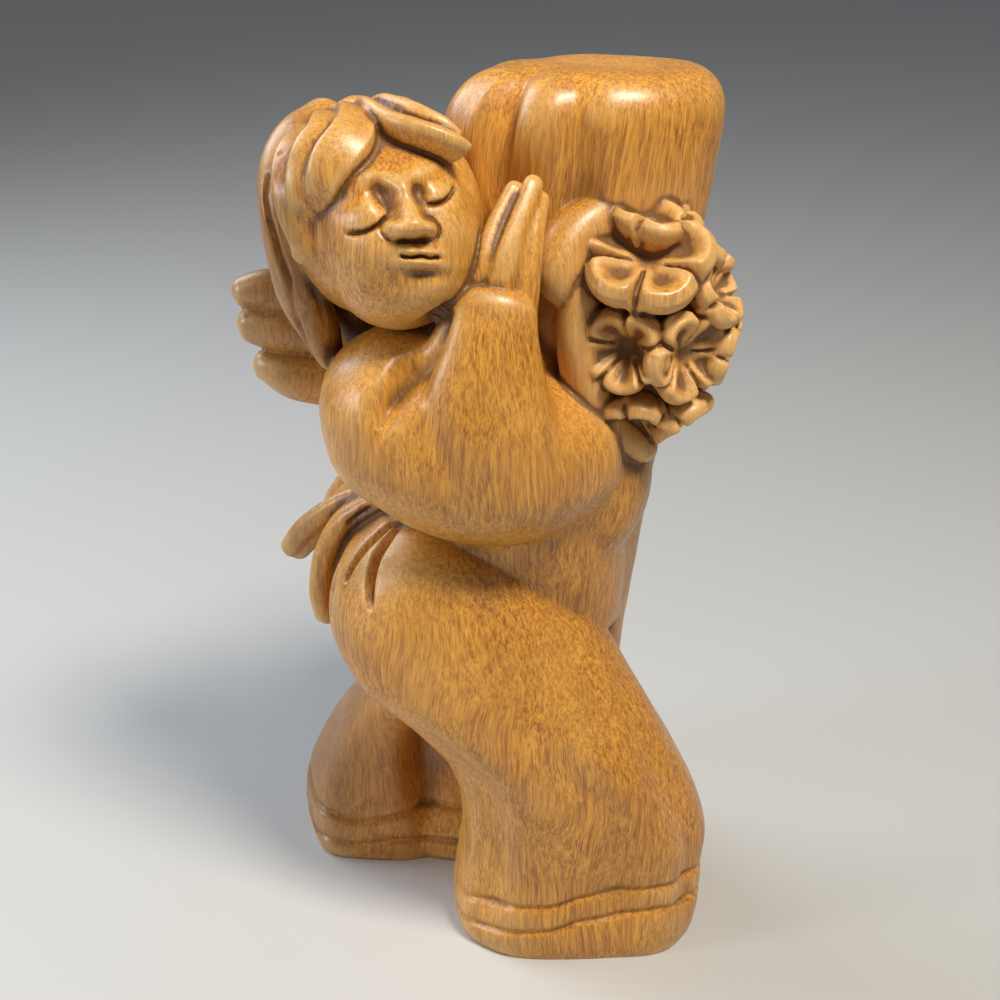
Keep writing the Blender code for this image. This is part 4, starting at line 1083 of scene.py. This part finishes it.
def wood():
    """Solid wood whose fibres run upwards: streaks on its sides and dots on its tops."""
    material = bpy.data.materials.new("carved_wood_visual")
    tree = NodeTree(material)
    place = fibre_place(tree)
    streaks = tree.noise(tree.stretched(place, 850, 0.045), 3.0, 0.62).outputs["Fac"]
    fine = tree.noise(tree.stretched(place, 2200, 0.05, (3, 1, 7)), 2.0, 0.6).outputs["Fac"]
    bands = tree.noise(tree.stretched(place, 75, 0.14, (9, 4, 2)), 2.0, 0.5, 0.6).outputs["Fac"]
    clouds = tree.noise(tree.stretched(place, 24, 0.6, (1, 8, 5)), 2.0, 0.5).outputs["Fac"]
    mixed = tree.math("ADD", tree.math("MULTIPLY", streaks, 0.55), tree.math("MULTIPLY", fine, 0.45))
    grain = tree.levels(mixed, 0.38, 0.60)
    pore_cells = tree.node("ShaderNodeTexVoronoi", feature="F1")
    tree.feed(pore_cells.inputs, Vector=tree.stretched(place, 1000, 0.07, (2, 5, 1)), Scale=1.0)
    pores = tree.levels(pore_cells.outputs["Distance"], 0.20, 0.08)

    layer = tree.node("ShaderNodeVertexColor", layer_name="carving")
    channels = tree.node("ShaderNodeSeparateColor")
    tree.put(channels.inputs[0], layer.outputs["Color"])
    hollow, dark, raw = channels.outputs
    # Painted shade where the skin is hollow.
    crease_shade_mask = tree.levels(hollow, 0.55, 0.85)
    # Painted highlight where the skin bulges.
    edge = tree.levels(hollow, 0.45, 0.20)

    # Each layer of colour: (where it shows, how strongly, what it turns the wood to).
    colour = tree.blend(grain, DARK_FIBRE, PALE_FIBRE)
    for where, strength, towards in (
        (tree.levels(bands, 0.40, 0.66), 0.30, BAND_BROWN),
        (tree.levels(clouds, 0.42, 0.70), 0.30, CLOUD_GOLD),
        (dark, 0.72, FAR_PARTS_DARK_BROWN),
        (raw, 0.40, RAW_WOOD),
    ):
        colour = tree.blend(where, colour, tree.blend(strength, colour, towards))
    # Pores, then painted shade in creases and a painted highlight on convex edges.
    for where, strength, towards in (
        (pores, 0.6, PORE_BROWN),
        (crease_shade_mask, 0.75, CREASE_PAINTED_SHADE),
        (edge, 0.35, EDGE_PAINTED_HIGHLIGHT),
    ):
        colour = tree.blend(tree.math("MULTIPLY", where, strength), colour, towards)

    # Clouds, the raw bouquet and creases are rougher.
    gloss = tree.math("ADD", 0.32, tree.math("MULTIPLY", clouds, 0.14))
    gloss = tree.math("ADD", gloss, tree.math("MULTIPLY", raw, 0.16))
    gloss = tree.math("ADD", gloss, tree.math("MULTIPLY", crease_shade_mask, 0.2), clamp=True)
    relief = tree.math("SUBTRACT", tree.math("MULTIPLY", grain, 0.5), tree.math("MULTIPLY", pores, 0.8))
    dents = tree.node("ShaderNodeBump")
    tree.feed(dents.inputs, Height=relief, Strength=0.5, Distance=0.00012)
    tree.feed(tree.shader.inputs, Base_Color=colour, Roughness=gloss, Normal=dents.outputs[0])
    tree.feed(tree.shader.inputs, Specular_IOR_Level=0.55, Coat_Weight=0.25, Coat_Roughness=0.28)
    return material


def plain_floor():
    material = bpy.data.materials.new("floor_visual")
    tree = NodeTree(material)
    tree.feed(tree.shader.inputs, Base_Color=FLOOR_COLOUR, Roughness=0.7)
    shape = bmesh.new()
    bmesh.ops.create_circle(shape, cap_ends=True, segments=96, radius=FLOOR_RADIUS)
    mesh = bpy.data.meshes.new("floor")
    shape.to_mesh(mesh)
    shape.free()
    mesh.materials.append(material)
    floor = bpy.data.objects.new("floor", mesh)
    bpy.context.scene.collection.objects.link(floor)


# Lights: (name, place, point that it shines at, size, power, colour).
LIGHTS = [
    ("key", (0.30, -0.42, 1.05), (0, 0, 0.16), 0.26, 11.5, (1.0, 0.93, 0.80)),
    ("window", (-0.75, 0.35, 0.80), (0, 0, 0.18), 0.70, 7.5, (0.80, 0.89, 1.0)),
    ("side", (-1.0, -0.38, 0.42), (0, 0, 0.15), 0.35, 4.2, (0.94, 0.96, 1.0)),
]
ROOM_COLOUR = (0.86, 0.91, 1.0, 1)
ROOM_STRENGTH = 0.18

# Camera: its place in carving units, its tilt up from straight down in degrees, and its sensor and
# lens in millimetres.
CAMERA_PLACE = (0, -474, 375)
CAMERA_TILT = 66
SENSOR_WIDTH = 36.0
LENS_LENGTH = 57.6


def area_light(name, place, target, size, power, colour):
    light = bpy.data.lights.new(name, "AREA")
    light.shape = "DISK"
    light.size = size
    light.energy = power
    light.color = colour
    lamp = bpy.data.objects.new(name, light)
    lamp.location = place
    lamp.rotation_euler = (Vector(target) - Vector(place)).to_track_quat("-Z", "Y").to_euler()
    bpy.context.scene.collection.objects.link(lamp)


def photo_camera(to_frame):
    lens = bpy.data.cameras.new("camera")
    lens.sensor_width = SENSOR_WIDTH
    lens.lens = LENS_LENGTH
    camera = bpy.data.objects.new("camera", lens)
    camera.location = to_frame(Vector(CAMERA_PLACE))
    camera.rotation_euler = (math.radians(CAMERA_TILT), 0, 0)
    bpy.context.scene.collection.objects.link(camera)
    bpy.context.scene.camera = camera


def studio():
    plain_floor()
    world = bpy.data.worlds.new("studio")
    world.use_nodes = True
    background = world.node_tree.nodes["Background"]
    background.inputs["Color"].default_value = ROOM_COLOUR
    background.inputs["Strength"].default_value = ROOM_STRENGTH
    bpy.context.scene.world = world
    bpy.context.scene.view_settings.view_transform = "Standard"
    for light in LIGHTS:
        area_light(*light)


def build_scene():
    """Makes the piece, sets it in the frame in metres, and sets the studio and camera round it."""
    mesh = finish_piece(finely_carved(carved(carve_forms())))
    shade_attributes(mesh)
    points = vertex_array(mesh, "co")
    low, high = points.min(axis=0), points.max(axis=0)
    middle = Vector(((low[0] + high[0]) / 2, (low[1] + high[1]) / 2, low[2]))
    scale = HEIGHT / (high[2] - low[2])

    def to_frame(point):
        return (point - middle) * scale

    mesh.transform(Matrix.Scale(scale, 4) @ Matrix.Translation(-middle))
    mesh.shade_smooth()
    mesh.materials.clear()
    mesh.materials.append(wood())
    cherub = bpy.data.objects.new("carved_cherub", mesh)
    bpy.context.scene.collection.objects.link(cherub)
    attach(cherub, "root")
    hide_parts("cherub")
    studio()
    photo_camera(to_frame)


build_scene()
